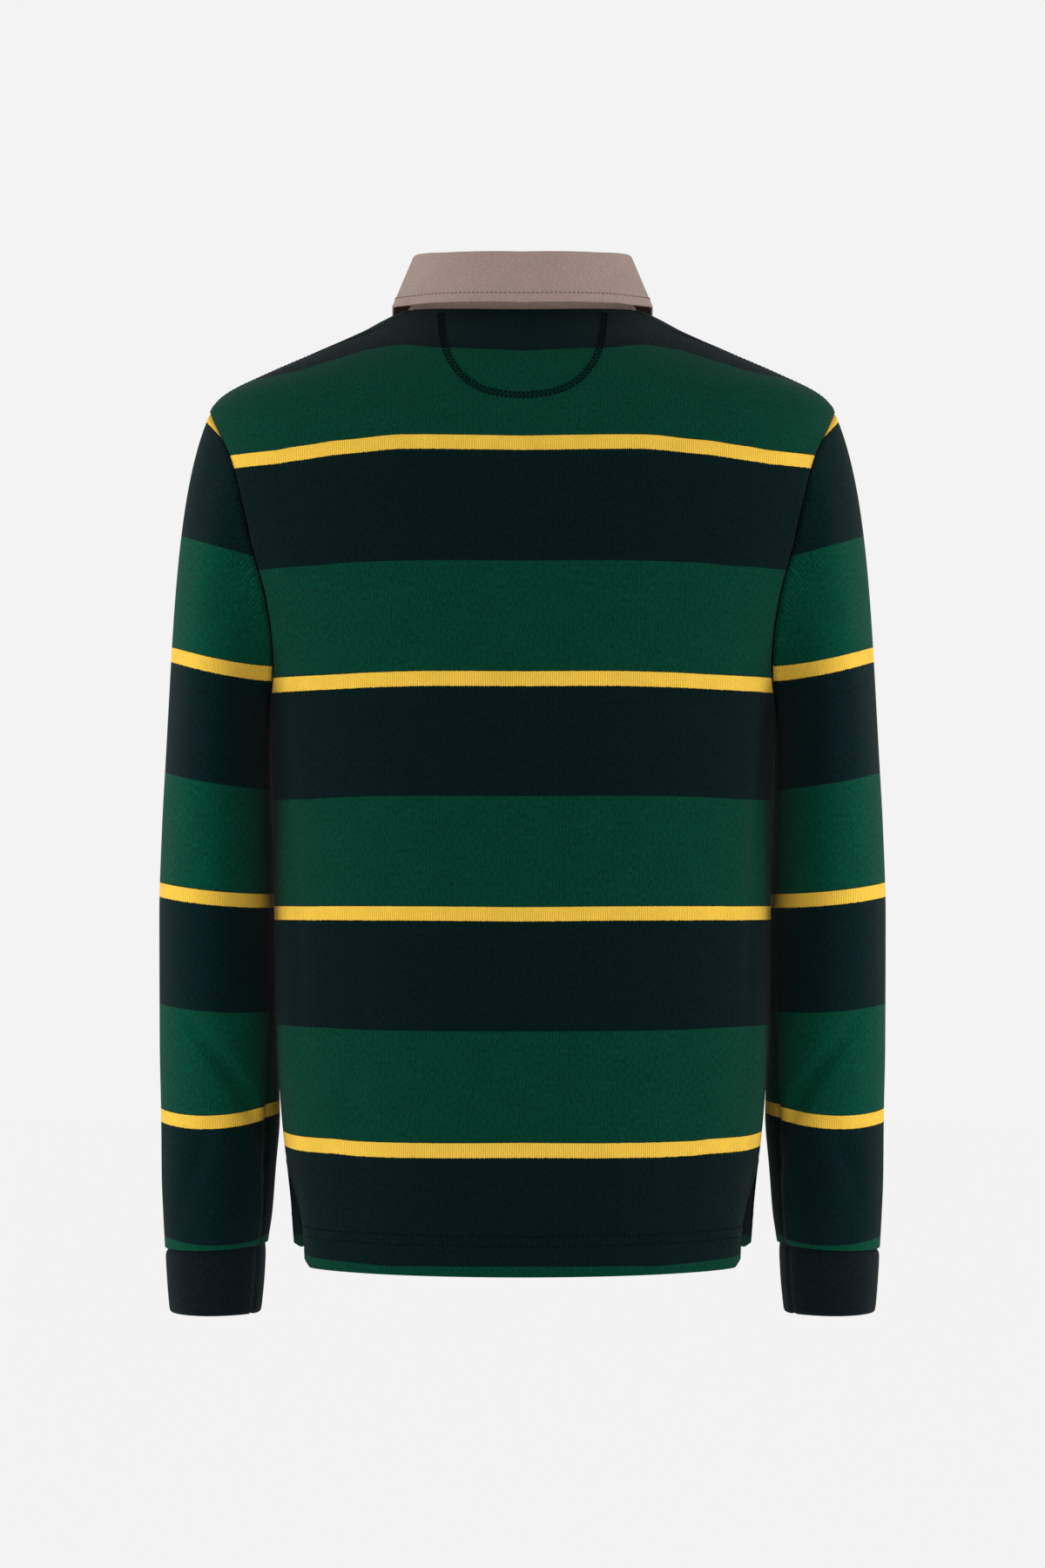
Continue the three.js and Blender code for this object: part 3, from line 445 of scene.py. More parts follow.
def cap_point(turn, share):
    start = armhole_point(turn)
    end = tube_point(turn, TUBE_TOP)
    up = unit(end - tube_point(turn, TUBE_TOP - 4))
    leave = np.zeros(start.shape)
    arrive = np.zeros(start.shape[:-1])
    for (key, other), value in ((("top", "pit"), cos(turn)), (("back", "front"), sin(turn))):
        first = np.array(CAP[key][0], float)
        second = np.array(CAP[other][0], float)
        weight = value ** 2
        leave = leave + np.where((value > 0)[..., None], first, second) * weight[..., None]
        arrive = arrive + np.where(value > 0, CAP[key][1], CAP[other][1]) * weight
    t = share[..., None]
    u = 1 - t
    return (start * u ** 3 + 3 * (start + leave) * t * u * u
            + 3 * (end + up * arrive[..., None]) * t * t * u + end * t ** 3)


def grid_normals(grid, closed):
    """Outward normals of a grid of points, rows going up and columns going round."""
    if closed:
        along = np.roll(grid, -1, axis=1) - np.roll(grid, 1, axis=1)
    else:
        along = np.gradient(grid, axis=1)
    return unit(np.cross(along, np.gradient(grid, axis=0)))


def lengths(grid, axis):
    """Length along a grid's rows or columns, from its first line."""
    step = np.linalg.norm(np.diff(grid, axis=axis), axis=-1)
    start = np.zeros_like(np.take(step, [0], axis=axis))
    return np.concatenate([start, np.cumsum(step, axis=axis)], axis=axis)


def edge_distance(grid, closed):
    """Distance of each point from the nearest open edge."""
    up = lengths(grid, 0)
    nearest = np.minimum(up, up[-1:] - up)
    if closed:
        return nearest
    across = lengths(grid, 1)
    return np.minimum(nearest, np.minimum(across, across[:, -1:] - across))


def linked(name, mesh):
    piece = bpy.data.objects.new(name, mesh)
    bpy.context.scene.collection.objects.link(piece)
    return piece


def make_mesh(name, vertices, faces, maps):
    """A smooth mesh in metres, with UV maps given per face corner."""
    mesh = bpy.data.meshes.new(name)
    mesh.from_pydata((vertices / 1000).tolist(), [], faces.tolist())
    for map_name, values in maps.items():
        layer = mesh.uv_layers.new(name=map_name)
        layer.data.foreach_set("uv", (values.reshape(-1, 2) / 1000).ravel().astype(np.float32))
    mesh.polygons.foreach_set("use_smooth", np.ones(len(mesh.polygons), bool))
    mesh.set_sharp_from_angle(angle=math.radians(60))
    return linked(name, mesh)


def shell(name, outer, thick, maps, closed=False, present=None, normals=None):
    """A thin closed wall on a grid of outer points, with rounded open edges. Each map is a
    pair of grids, one column wider than the points where the wall is closed."""
    rows, columns = outer.shape[:2]
    normals = grid_normals(outer, closed) if normals is None else normals
    near = np.clip(edge_distance(outer, closed) / (thick / 2), 0, 1)
    half = (thick / 2 * np.sqrt(np.clip(1 - (1 - near) ** 2, 0.04, 1)))[..., None]
    middle = outer - normals * thick / 2
    vertices = np.concatenate([(middle + normals * half).reshape(-1, 3),
                               (middle - normals * half).reshape(-1, 3)])
    cells = columns if closed else columns - 1
    if present is None:
        present = np.ones((rows - 1, cells), bool)
    j, i = np.nonzero(present)
    corner_sets = [np.stack([j, i, j, i + 1, j + 1, i + 1, j + 1, i], 1).reshape(-1, 4, 2)]
    layers = [np.zeros((len(j), 4), int)]
    corner_sets.append(corner_sets[0][:, ::-1])
    layers.append(np.ones((len(j), 4), int))
    padded = np.pad(present, 1)
    if closed:
        padded[1:-1, 0] = present[:, -1]
        padded[1:-1, -1] = present[:, 0]
    sides = ((-1, 0, (0, 0), (0, 1)), (0, 1, (0, 1), (1, 1)),
             (1, 0, (1, 1), (1, 0)), (0, -1, (1, 0), (0, 0)))
    for up, right, start, end in sides:
        open_side = present & ~padded[1 + up:1 + up + rows - 1, 1 + right:1 + right + cells]
        j, i = np.nonzero(open_side)
        first = np.stack([j + start[0], i + start[1]], 1)
        last = np.stack([j + end[0], i + end[1]], 1)
        corner_sets.append(np.stack([first, first, last, last], 1))
        layers.append(np.tile([0, 1, 1, 0], (len(j), 1)))
    corners = np.concatenate(corner_sets)
    layer = np.concatenate(layers)
    faces = layer * rows * columns + corners[..., 0] * columns + corners[..., 1] % columns
    uv = {key: np.stack([u[corners[..., 0], corners[..., 1]], v[corners[..., 0], corners[..., 1]]], -1)
          for key, (u, v) in maps.items()}
    return make_mesh(name, vertices, faces, uv)


def wrapped(values):
    """A closed grid of values with its first column repeated at the end."""
    return np.concatenate([values, values[:, :1]], axis=1)


def nodes_of(material):
    material.use_nodes = True
    tree = material.node_tree
    tree.nodes.clear()
    output = tree.nodes.new("ShaderNodeOutputMaterial")
    shader = tree.nodes.new("ShaderNodeBsdfPrincipled")
    tree.links.new(shader.outputs[0], output.inputs[0])
    return tree, shader


def finish_with(shader, values):
    for name, value in values.items():
        shader.inputs[name].default_value = value


def math_node(tree, operation, first, second=None):
    node = tree.nodes.new("ShaderNodeMath")
    node.operation = operation
    for socket, value in zip(node.inputs, (first, second)):
        if value is None:
            continue
        if isinstance(value, (int, float)):
            socket.default_value = value
        else:
            tree.links.new(value, socket)
    return node.outputs[0]


def product(tree, first, second):
    return math_node(tree, "MULTIPLY", first, second)


def centred(tree, number):
    return math_node(tree, "SUBTRACT", number, 0.5)


def uv_axis(tree, name):
    """A UV map in metres, and its two numbers."""
    layer = tree.nodes.new("ShaderNodeUVMap")
    layer.uv_map = name
    split = tree.nodes.new("ShaderNodeSeparateXYZ")
    tree.links.new(layer.outputs[0], split.inputs[0])
    return layer.outputs[0], split.outputs[0], split.outputs[1]


def noise(tree, vector, scale, detail=2.0, stretch=None):
    if stretch:
        mapping = tree.nodes.new("ShaderNodeMapping")
        mapping.inputs["Scale"].default_value = stretch
        tree.links.new(vector, mapping.inputs[0])
        vector = mapping.outputs[0]
    node = tree.nodes.new("ShaderNodeTexNoise")
    node.inputs["Scale"].default_value = scale
    node.inputs["Detail"].default_value = detail
    tree.links.new(vector, node.inputs["Vector"])
    return node.outputs[0]


def ridges(tree, number, spacing):
    """A wave from 0 to 1 that repeats at a spacing in metres."""
    turned = product(tree, number, 2 * math.pi / spacing)
    wave = math_node(tree, "SINE", turned)
    return math_node(tree, "MULTIPLY_ADD", wave, 0.5)


def tinted(tree, colour, number, low, high, start=0.25, end=0.75):
    """A colour made darker or lighter by a number that goes from start to end."""
    span = tree.nodes.new("ShaderNodeMapRange")
    span.inputs["From Min"].default_value = start
    span.inputs["From Max"].default_value = end
    span.inputs["To Min"].default_value = low
    span.inputs["To Max"].default_value = high
    tree.links.new(number, span.inputs["Value"])
    scaled = tree.nodes.new("ShaderNodeVectorMath")
    scaled.operation = "SCALE"
    if isinstance(colour, tuple):
        scaled.inputs[0].default_value = colour
    else:
        tree.links.new(colour, scaled.inputs[0])
    tree.links.new(span.outputs[0], scaled.inputs["Scale"])
    return scaled.outputs[0]


def bump(tree, shader, height, distance, strength=1.0):
    node = tree.nodes.new("ShaderNodeBump")
    node.inputs["Distance"].default_value = distance
    node.inputs["Strength"].default_value = strength
    tree.links.new(height, node.inputs["Height"])
    tree.links.new(node.outputs[0], shader.inputs["Normal"])


def added(tree, *parts):
    total = parts[0]
    for part in parts[1:]:
        total = math_node(tree, "ADD", total, part)
    return total


def pattern(tree, fine, wales, painted_light_gain):
    """The stripes' colours, with finely ragged edges and a painted shadow beside the seams, and the
    flecks of the yarn, which are weaker in the yellow stripe."""
    _, from_seam, repeats = uv_axis(tree, "stripe")
    ragged = product(tree, centred(tree, fine), RAGGED["yarn"] / REPEAT)
    stepped = product(tree, centred(tree, wales),
                        RAGGED["wales"] / REPEAT)
    repeat = math_node(tree, "FRACT", added(tree, repeats, ragged, stepped))
    ramp = tree.nodes.new("ShaderNodeValToRGB")
    ramp.color_ramp.interpolation = "CONSTANT"
    tree.links.new(repeat, ramp.inputs[0])
    elements = ramp.color_ramp.elements
    for i, (colour, start) in enumerate(PATTERN):
        element = elements[i] if i < 2 else elements.new(start)
        element.position = start
        # Painted light: the green and the dark stripes are made lighter by the factor
        strength = 1 if colour == "yellow" else painted_light_gain
        element.color = (*(strength * part for part in COLOURS[colour]), 1)
    above = math_node(tree, "GREATER_THAN", repeat, YELLOW)
    below = math_node(tree, "LESS_THAN", repeat, GREEN)
    calm = product(tree, product(tree, above, below), YELLOW_CALM)
    flecks = product(tree, centred(tree, fine),
                       math_node(tree, "SUBTRACT", 1.0, calm))
    flecks = math_node(tree, "ADD", flecks, 0.5)
    # Painted shadow: the colour is darkened within a few millimetres of a seam, where shade falls
    shaded = tinted(tree, ramp.outputs[0], from_seam, PAINTED_SEAM_SHADOW["dark"], 1.0, 0.0, PAINTED_SEAM_SHADOW["reach"])
    return shaded, flecks


def knit(name, colour=None, painted_light_gain=1.0, wale=0.0016, sheen=0.04, deep=0.00025):
    """Jersey: striped, or plain where a colour is given, with fine upright wales and mixed yarn.
    A factor makes the green and the dark stripes lighter: painted light, for cloth that stands in more
    light."""
    material = bpy.data.materials.new(name)
    tree, shader = nodes_of(material)
    cloth, across, up = uv_axis(tree, "cloth")
    fine = noise(tree, cloth, YARN["scale"], YARN["detail"], YARN["stretch"])
    broad = noise(tree, cloth, CLOUDS["scale"], CLOUDS["detail"])
    wavy = math_node(tree, "ADD", across, product(tree, broad, WALES["wander"]))
    wales = ridges(tree, wavy, wale)
    courses = ridges(tree, up, wale * COURSES["spacing"])
    if colour:
        base, flecks = COLOURS[colour], fine
    else:
        base, flecks = pattern(tree, fine, wales, painted_light_gain)
    base = tinted(tree, base, flecks, *YARN["tint"])
    base = tinted(tree, base, broad, *CLOUDS["tint"])
    base = tinted(tree, base, wales, *WALES["tint"])
    tree.links.new(base, shader.inputs["Base Color"])
    finish_with(shader, KNIT_FINISH)
    shader.inputs["Sheen Weight"].default_value = sheen
    height = added(tree, product(tree, wales, WALES["relief"]),
                   product(tree, courses, COURSES["relief"]),
                   product(tree, fine, YARN["relief"]))
    bump(tree, shader, height, deep)
    return material


def twill(name, colour, foot=1.0):
    """Twill: fine slanting ribs and flecked yarn, with painted light at the cloth's foot, where a factor
    makes it lighter.
    """
    material = bpy.data.materials.new(name)
    tree, shader = nodes_of(material)
    cloth, across, up = uv_axis(tree, "cloth")
    slanting = added(tree, across, product(tree, up, TWILL_RIBS["slant"]))
    ribs = ridges(tree, slanting, TWILL_RIBS["spacing"])
    fine = noise(tree, cloth, TWILL_YARN["scale"], TWILL_YARN["detail"], TWILL_YARN["stretch"])
    broad = noise(tree, cloth, TWILL_CLOUDS["scale"], TWILL_CLOUDS["detail"])
    base = tinted(tree, COLOURS[colour], fine, *TWILL_YARN["tint"])
    base = tinted(tree, base, ribs, *TWILL_RIBS["tint"])
    base = tinted(tree, base, broad, *TWILL_CLOUDS["tint"])
    if foot > 1:
        # Painted light on the collar's stand under the fall's edge, where shade falls
        base = tinted(tree, base, up, foot, 1.0, *PAINTED_LIGHT_FOOT)
    tree.links.new(base, shader.inputs["Base Color"])
    finish_with(shader, TWILL_FINISH)
    height = added(tree, product(tree, ribs, TWILL_RIBS["relief"]),
                   product(tree, fine, TWILL_YARN["relief"]))
    bump(tree, shader, height, TWILL_DEEP)
    return material


def plain(name, colour, roughness, specular, scale=700.0, deep=0.00008):
    """Thread or plastic: one colour with fine flecks in it."""
    material = bpy.data.materials.new(name)
    tree, shader = nodes_of(material)
    place = tree.nodes.new("ShaderNodeTexCoord").outputs["Object"]
    fine = noise(tree, place, scale, 3)
    base = tinted(tree, COLOURS[colour], fine, *THREAD_TINT)
    tree.links.new(base, shader.inputs["Base Color"])
    finish_with(shader, {"Roughness": roughness, "Specular IOR Level": specular})
    bump(tree, shader, fine, deep)
    return material


def dress(piece, material, slot_name, *replaced):
    piece.data.materials.append(material)
    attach(piece, "root")
    if replaced:
        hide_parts(*replaced)
    return piece


def dense(start, end, count, near_start=(), near_end=()):
    """Evenly spaced values with more of them at given distances from either end."""
    values = np.linspace(start, end, count)
    extra = [start + d for d in near_start] + [end - d for d in near_end]
    return np.unique(np.round(np.concatenate([values, extra]), 6))


def stripe_level(angle, z):
    """Height in the stripes' table of a place on the body."""
    off = np.abs((angle + 180) % 360 - 180)
    off = np.where(off > 90, 180 - off, off)
    rise = np.zeros(np.broadcast(off, z).shape)
    values = [STRIPE_RISE(key, z) for key in STRIPE_ANGLES]
    for k in range(len(STRIPE_ANGLES) - 1):
        low, high = STRIPE_ANGLES[k], STRIPE_ANGLES[k + 1]
        t = np.clip((off - low) / (high - low), 0, 1)
        t = t * t * (3 - 2 * t) * 0.5 + t * 0.5
        inside = (off >= low) & (off <= high)
        rise = np.where(inside, mix(values[k], values[k + 1], t), rise)
    return z - rise


def panel(side):
    rows = np.concatenate([
        dense(0, VENT_ROWS, PANEL_LINES["vent"], near_start=(0.006, 0.02, 0.045)),
        np.linspace(VENT_ROWS, ARMPIT_ROW, PANEL_LINES["side"])[1:],
        np.linspace(ARMPIT_ROW, TIP_ROW, PANEL_LINES["armhole"])[1:],
        dense(TIP_ROW, NECK_ROW, PANEL_LINES["shoulder"], near_end=(0.01, 0.04, 0.08))[1:]])
    near = (0.0008, 0.0022, 0.0045, 0.008, 0.013, 0.02)
    shares = dense(-1, 1, PANEL_LINES["across"], near, near)
    first = 1 / PANEL_HALF_COLUMNS
    if side == "front":
        shares = np.unique(np.round(np.concatenate([shares, [-first, first]]), 6))
    angle, z = panel_grid(side, rows, shares)
    outer = body_point(angle, z)
    normals = grid_normals(outer, False)
    if side == "front":
        normals = -normals
    across = lengths(outer, 1)
    from_side = np.minimum(across, across[:, -1:] - across)
    up = lengths(outer, 0)
    pucker = puckered(up / BODY_PUCKER[0], up / BODY_PUCKER[1] + 1)
    sewn = z > VENT_TOP
    sunk = SEAM_DIP["deep"] * bell(from_side, SEAM_DIP["wide"]) * pucker * sewn
    sunk = sunk - SEAM_RIDGE["high"] * bell(from_side - SEAM_RIDGE["inset"], SEAM_RIDGE["wide"]) * sewn
    hem = BACK_HEM if side == "back" else FRONT_HEM
    sunk = sunk - HEM_STEP["high"] * soft_step(z - hem - HEM_DEPTH, HEM_STEP["soft"])
    vent = z < VENT_TOP
    sunk = sunk - VENT_EDGE["raised"] * soft_step(from_side - VENT_EDGE["width"], VENT_EDGE["soft"]) * vent
    for rise in HEM_ROWS:
        sunk = sunk + ROW_DIP["deep"] * bell(z - hem - rise, ROW_DIP["wide"])
    outer = outer - normals * sunk[..., None]
    middle = across[:, [len(shares) // 2]]
    level = stripe_level(angle, z)
    if side == "front":
        dropped = np.clip((FRONT_DROP["below"] - z) / FRONT_DROP["over"], 0, 1)
        level = level - (FRONT_HEM - BACK_HEM) * dropped
    repeats = np.interp(level, *zip(*BODY_STRIPES)) * 1000
    # The stripe map's first number is the distance from the seam, which the painted seam shadow reads; the
    # vent is set far off so it gets none
    maps = {"cloth": (across - middle, up), "stripe": (np.where(vent, FAR_FROM_SEAM, from_side), repeats)}
    present = np.ones((len(rows) - 1, len(shares) - 1), bool)
    if side == "front":
        cut = (rows[:-1, None] >= ARMPIT_ROW + PLACKET_ROW) & (
            np.abs((shares[None, :-1] + shares[None, 1:]) / 2) < first)
        present &= ~cut
    return shell(side + "_panel_cloth", outer, JERSEY, maps, present=present, normals=normals)


def tube_shell(name, side, outer, normals, thick, radius, up, maps):
    """A sleeve or cuff, closed all round and mirrored for the left."""
    rows, columns = outer.shape[:2]
    ring = np.arange(columns + 1)[None, :] / columns * 2 * np.pi * radius
    maps = {"cloth": (np.broadcast_to(ring, (rows, columns + 1)), wrapped(up)), **maps}
    if side == "left":
        outer = outer * (-1, 1, 1)
        normals = normals * (-1, 1, 1)
    return shell("%s_%s_cloth" % (name, side), outer, thick, maps, closed=True, normals=normals)


def sleeve(side):
    columns = SLEEVE_LINES["round"]
    turns = np.arange(columns) * 360 / columns
    cap_shares = dense(0, 1, SLEEVE_LINES["cap"], near_start=(0.004, 0.01, 0.018, 0.028)) ** 1.3
    heights = -dense(-TUBE_TOP, -TUBE_END, SLEEVE_LINES["tube"], near_end=(0.15, 0.5, 1.1))[1:]
    turn = np.broadcast_to(turns, (len(cap_shares), columns))
    cap = cap_point(turn, np.broadcast_to(cap_shares[:, None], turn.shape))
    tube = tube_point(turns[None, :], heights[:, None])
    grid = np.concatenate([cap, tube])[::-1]
    z = grid[..., 2]
    normals = -grid_normals(grid, True)
    all_turns = np.broadcast_to(turns, z.shape)
    seam = SLEEVE_SEAM("angle", z)
    from_seam = (all_turns - seam + 180) % 360 - 180
    off = np.radians(from_seam) * SLEEVE_RADIUS["seam"]
    down = lengths(grid, 0)
    from_cap = down[-1:] - down
    pucker = puckered(off / SLEEVE_PUCKER[0] + 1, all_turns / SLEEVE_PUCKER[1])
    low = soft_step(z - FOREARM["top"], FOREARM["soft"])
    sunk = (SLEEVE_DIP["deep"] + SLEEVE_DIP["deeper"] * low) * bell(off, SLEEVE_DIP["wide"])
    beside = bell(off - HOLLOW["inset"], HOLLOW["wide"]) * (off > 0)
    sunk = sunk + low * HOLLOW["deep"] * beside
    sunk = sunk + SEAM_DIP["deep"] * bell(from_cap, SEAM_DIP["wide"]) * pucker
    outer = grid - normals * sunk[..., None]
    middle = (SLEEVE("inner", z) + SLEEVE("outer", z)) / 2
    wide = (SLEEVE("outer", z) - SLEEVE("inner", z)) / 2
    reach = TILT_REACH["across"]
    away = np.clip((outer[..., 0] - middle) / wide, -reach, reach) + TILT_REACH["shift"]
    at_cap = np.clip((z - TILT_REACH["above"]) / TILT_REACH["over"], 0, 1)
    away = np.minimum(away, TILT_REACH["most"] - TILT_REACH["less"] * at_cap)
    rise = SLEEVE_TILT("lift", z) + SLEEVE_TILT("tilt", z) * away + SLEEVE_TILT("bend", z) * away ** 2
    beyond = np.where(from_seam > 0, from_seam, from_seam + 360)
    started = np.clip((STRIPE_STEP["below"] - z) / STRIPE_STEP["over"], 0, 1)
    rise = rise + STRIPE_STEP["high"] * np.exp(-beyond / STRIPE_STEP["fades"]) * started
    repeats = np.interp(z - rise, *zip(*SLEEVE_STRIPES)) * 1000
    # Painted shadow in the forearm's crease: the distance read by the seam's painted shadow shrinks down the
    # forearm, so the dark reaches further
    to_seam = np.minimum(from_cap, np.abs(off) / (1 + SLEEVE_DIP["shade"] * low))
    stripe = {"stripe": (wrapped(to_seam), wrapped(repeats))}
    return tube_shell("sleeve", side, outer, normals, JERSEY, SLEEVE_RADIUS["map"], down, stripe)


def cuff(side):
    columns = CUFF_LINES["round"]
    turns = np.arange(columns) * 360 / columns
    heights = -dense(696, 749, CUFF_LINES["up"], CUFF_NEAR_ENDS, CUFF_NEAR_ENDS)[::-1]
    turn, z = np.broadcast_arrays(turns[None, :], heights[:, None])
    middle = (CUFF("inner", z) + CUFF("outer", z)) / 2
    wide = (CUFF("outer", z) - CUFF("inner", z)) / 2
    grid = points(middle + wide * cos(turn), CUFF("y", z) - CUFF("depth", z) * sin(turn),
                  z + end_lift(turn, z))
    normals = -grid_normals(grid, True)
    off = np.radians((turn - CUFF_DIP["angle"] + 180) % 360 - 180) * CUFF_RADIUS
    sunk = CUFF_DIP["deep"] * bell(off, CUFF_DIP["wide"])
    sunk = sunk + CUFF_WAVE["deep"] * np.sin(turn / CUFF_WAVE["round"] + z / CUFF_WAVE["up"])
    outer = grid - normals * sunk[..., None]
    return tube_shell("cuff", side, outer, normals, RIB, CUFF_RADIUS, z, {})


def collar_lines():
    ends = 180 - np.degrees(COLLAR_END_GAP / 2 / COLLAR_END_RADIUS)
    angle = dense(-ends, ends, COLLAR_LINES["round"], NEAR_ENDS, NEAR_ENDS)
    z = neck_height(lambda height: angle, len(angle))
    base = body_point(angle, z)
    depth = np.where(base[:, 1] < NECK_MIDDLE, NECK_BACK, NECK_FRONT)
    turn = np.arctan2(base[:, 0] / NECK_HALF_WIDTH, -(base[:, 1] - NECK_MIDDLE) / depth)
    degrees = np.abs(np.degrees(turn))
    top_depth = np.where(np.cos(turn) > 0, FOLD_BACK, FOLD_FRONT)
    top = points(FOLD_HALF_WIDTH * np.sin(turn), FOLD_MIDDLE - top_depth * np.cos(turn),
                 COLLAR("fold", degrees))
    out = unit(points(np.sin(turn) / FOLD_HALF_WIDTH, -np.cos(turn) / top_depth, 0 * turn))
    normal = body_normal(angle, z)
    level = (out * normal).sum(-1)
    up = unit(points(-normal[:, 2] * out[:, 0], -normal[:, 2] * out[:, 1], level))
    neck = base - normal * (JERSEY + COLLAR_GAP + TWILL / 2)
    return neck, up, top, out, degrees, np.sign(turn)


def collar_grid():
    """Points at the collar's mid-thickness, from the tucked edge over the fold to the tip."""
    neck, up, top, out, degrees, hand = collar_lines()
    rows = [neck - up * COLLAR_TUCK]
    rise = ((top[:, 2] - neck[:, 2]) / 3)[:, None]
    for t in np.linspace(0, 1, COLLAR_LINES["stand"]):
        u = 1 - t
        rows.append(neck * u ** 3 + 3 * (neck + up * rise) * t * u * u
                    + 3 * (top - (0, 0, 1) * rise) * t * t * u + top * t ** 3)
    slope = np.radians(COLLAR("slope", degrees))
    for share in np.linspace(0, 1, COLLAR_LINES["fold"])[1:]:
        turned = (np.pi - slope) * share
        point = top + out * (FOLD_RADIUS * (1 - np.cos(turned)))[:, None]
        point[:, 2] += FOLD_RADIUS * np.sin(turned)
        rows.append(point)
    start = rows[-1]
    backward = points(out[:, 1], -out[:, 0], 0 * slope) * hand[:, None]
    for share in dense(0, 1, COLLAR_LINES["fall"], (), (0.004, 0.012, 0.025, 0.045))[1:]:
        down = COLLAR("fall", degrees) * share
        point = start + out * (down * np.sin(slope))[:, None]
        point = point + backward * (down * COLLAR("slide", degrees))[:, None]
        point[:, 2] -= down * np.cos(slope)
        rows.append(point)
    return np.array(rows)


def collar():
    grid = collar_grid()
    normals = grid_normals(grid, False)
    maps = {"cloth": (lengths(grid, 1), lengths(grid, 0))}
    return shell("collar_cloth", grid + normals * TWILL / 2, TWILL, maps, normals=normals), grid


def stitches(path, normals, length, gap, radius, lift):
    """Points of short raised stitches along a line: stitch, ring and side."""
    along = np.concatenate([[0], np.cumsum(np.linalg.norm(np.diff(path, axis=0), axis=-1))])
    starts = np.arange(gap / 2, along[-1] - length, length + gap)
    rings = []
    around = np.arange(STITCH_SIDES) * 2 * np.pi / STITCH_SIDES
    for share, size, rise in STITCH_RINGS:
        at = starts + length * share
        centre = np.stack([np.interp(at, along, path[:, k]) for k in range(3)], -1)
        normal = unit(np.stack([np.interp(at, along, normals[:, k]) for k in range(3)], -1))
        ahead = np.stack([np.interp(at + 0.3, along, path[:, k])
                          - np.interp(at - 0.3, along, path[:, k]) for k in range(3)], -1)
        sideways = unit(np.cross(ahead, normal))
        centre = centre + normal * (lift + rise * radius)
        ring = [centre + radius * size * (sideways * np.cos(a) + normal * np.sin(a)) for a in around]
        rings.append(np.stack(ring, 1))
    return np.stack(rings, 1)


def stitch_mesh(name, grids):
    """One mesh from several sets of stitches."""
    grid = np.concatenate(grids)
    count, rings, sides = grid.shape[:3]
    base = np.arange(count)[:, None, None] * rings * sides
    ring = np.arange(rings - 1)[None, :, None] * sides
    side = np.arange(sides)[None, None, :]
    after = (side + 1) % sides
    quads = np.stack([base + ring + side, base + ring + after,
                      base + ring + sides + after, base + ring + sides + side], -1).reshape(-1, 4)
    mesh = bpy.data.meshes.new(name)
    ends = [tuple(int(k * rings * sides + s) for s in range(sides)[::-1]) for k in range(count)]
    tips = [tuple(int((k + 1) * rings * sides - sides + s) for s in range(sides)) for k in range(count)]
    faces = [tuple(q) for q in quads.tolist()] + ends + tips
    mesh.from_pydata((grid.reshape(-1, 3) / 1000).tolist(), [], faces)
    mesh.polygons.foreach_set("use_smooth", np.ones(len(mesh.polygons), bool))
    return linked(name, mesh)


def body_line(x, z, side="back"):
    """Points and normals on the body for places given by x and z."""
    angle = np.degrees(np.arcsin(np.clip(x / BODY("half_width", z), -1, 1)))
    if side == "front":
        angle = 180 - angle
    return body_point(angle, z), body_normal(angle, z)


def smooth_path(knots, count):
    """A smooth line through a few points, evenly spaced."""
    knots = np.array(knots, float)
    length = np.concatenate([[0], np.cumsum(np.linalg.norm(np.diff(knots, axis=0), axis=-1))])
    table = Table(("x", "z"), [(a, *k) for a, k in zip(length, knots)])
    at = np.linspace(0, length[-1], count)
    return table("x", at), table("z", at)


# Half of the neck facing's line on the back, from under the collar to the middle: x and z
HALF_MOON = ((60.4, -7), (59.4, -16), (58.2, -27), (56, -37.1), (49.2, -51.3), (37.5, -63.6),
             (21.1, -71.1), (0, -73.6))


def half_moon():
    """Two rows of thread and the zigzag between them, round the neck's facing."""
    knots = HALF_MOON + tuple((-x, z) for x, z in HALF_MOON[-2::-1])
    x, z = smooth_path(knots, MOON_LINES["line"])
    ahead = unit(np.stack([np.gradient(x), np.gradient(z)], -1))
    sideways = np.stack([-ahead[:, 1], ahead[:, 0]], -1)
    sets = []
    for offset in (-MOON_WIDTH["rows"], MOON_WIDTH["rows"]):
        line, normal = body_line(x + sideways[:, 0] * offset, z + sideways[:, 1] * offset)
        sets.append(stitches(line, normal, *STITCHES["half_moon"]))
    count = MOON_LINES["zigzag"]
    at = np.linspace(0, len(x) - 1, count)
    swing = np.where(np.arange(count) % 2 == 0, -1, 1) * MOON_WIDTH["zigzag"]
    every = np.arange(len(x))
    zig_x = np.interp(at, every, x) + np.interp(at, every, sideways[:, 0]) * swing
    zig_z = np.interp(at, every, z) + np.interp(at, every, sideways[:, 1]) * swing
    for k in range(count - 1):
        t = np.linspace(0, 1, 5)
        line, normal = body_line(mix(zig_x[k], zig_x[k + 1], t), mix(zig_z[k], zig_z[k + 1], t))
        total = np.linalg.norm(np.diff(line, axis=0), axis=-1).sum()
        sets.append(stitches(line, normal, total * 0.9, total * 0.05, 0.36, 0.05)[:1])
    return stitch_mesh("neck_facing_stitching", sets)


def body_stitches(angle, z, kind):
    return stitches(body_point(angle, z), body_normal(angle, z), *STITCHES[kind])


def shoulder_stitching():
    """Two rows of stitches along each shoulder seam, on the back."""
    z = np.linspace(SHOULDER_TIP + 3, SHOULDER_TOP, 120)
    sets = []
    for hand in (-1, 1):
        for inset in SHOULDER_INSETS:
            sets.append(body_stitches(hand * beside(SHOULDER_SEAM("angle", z), z, -inset), z, "shoulder"))
    return stitch_mesh("shoulder_stitching", sets)


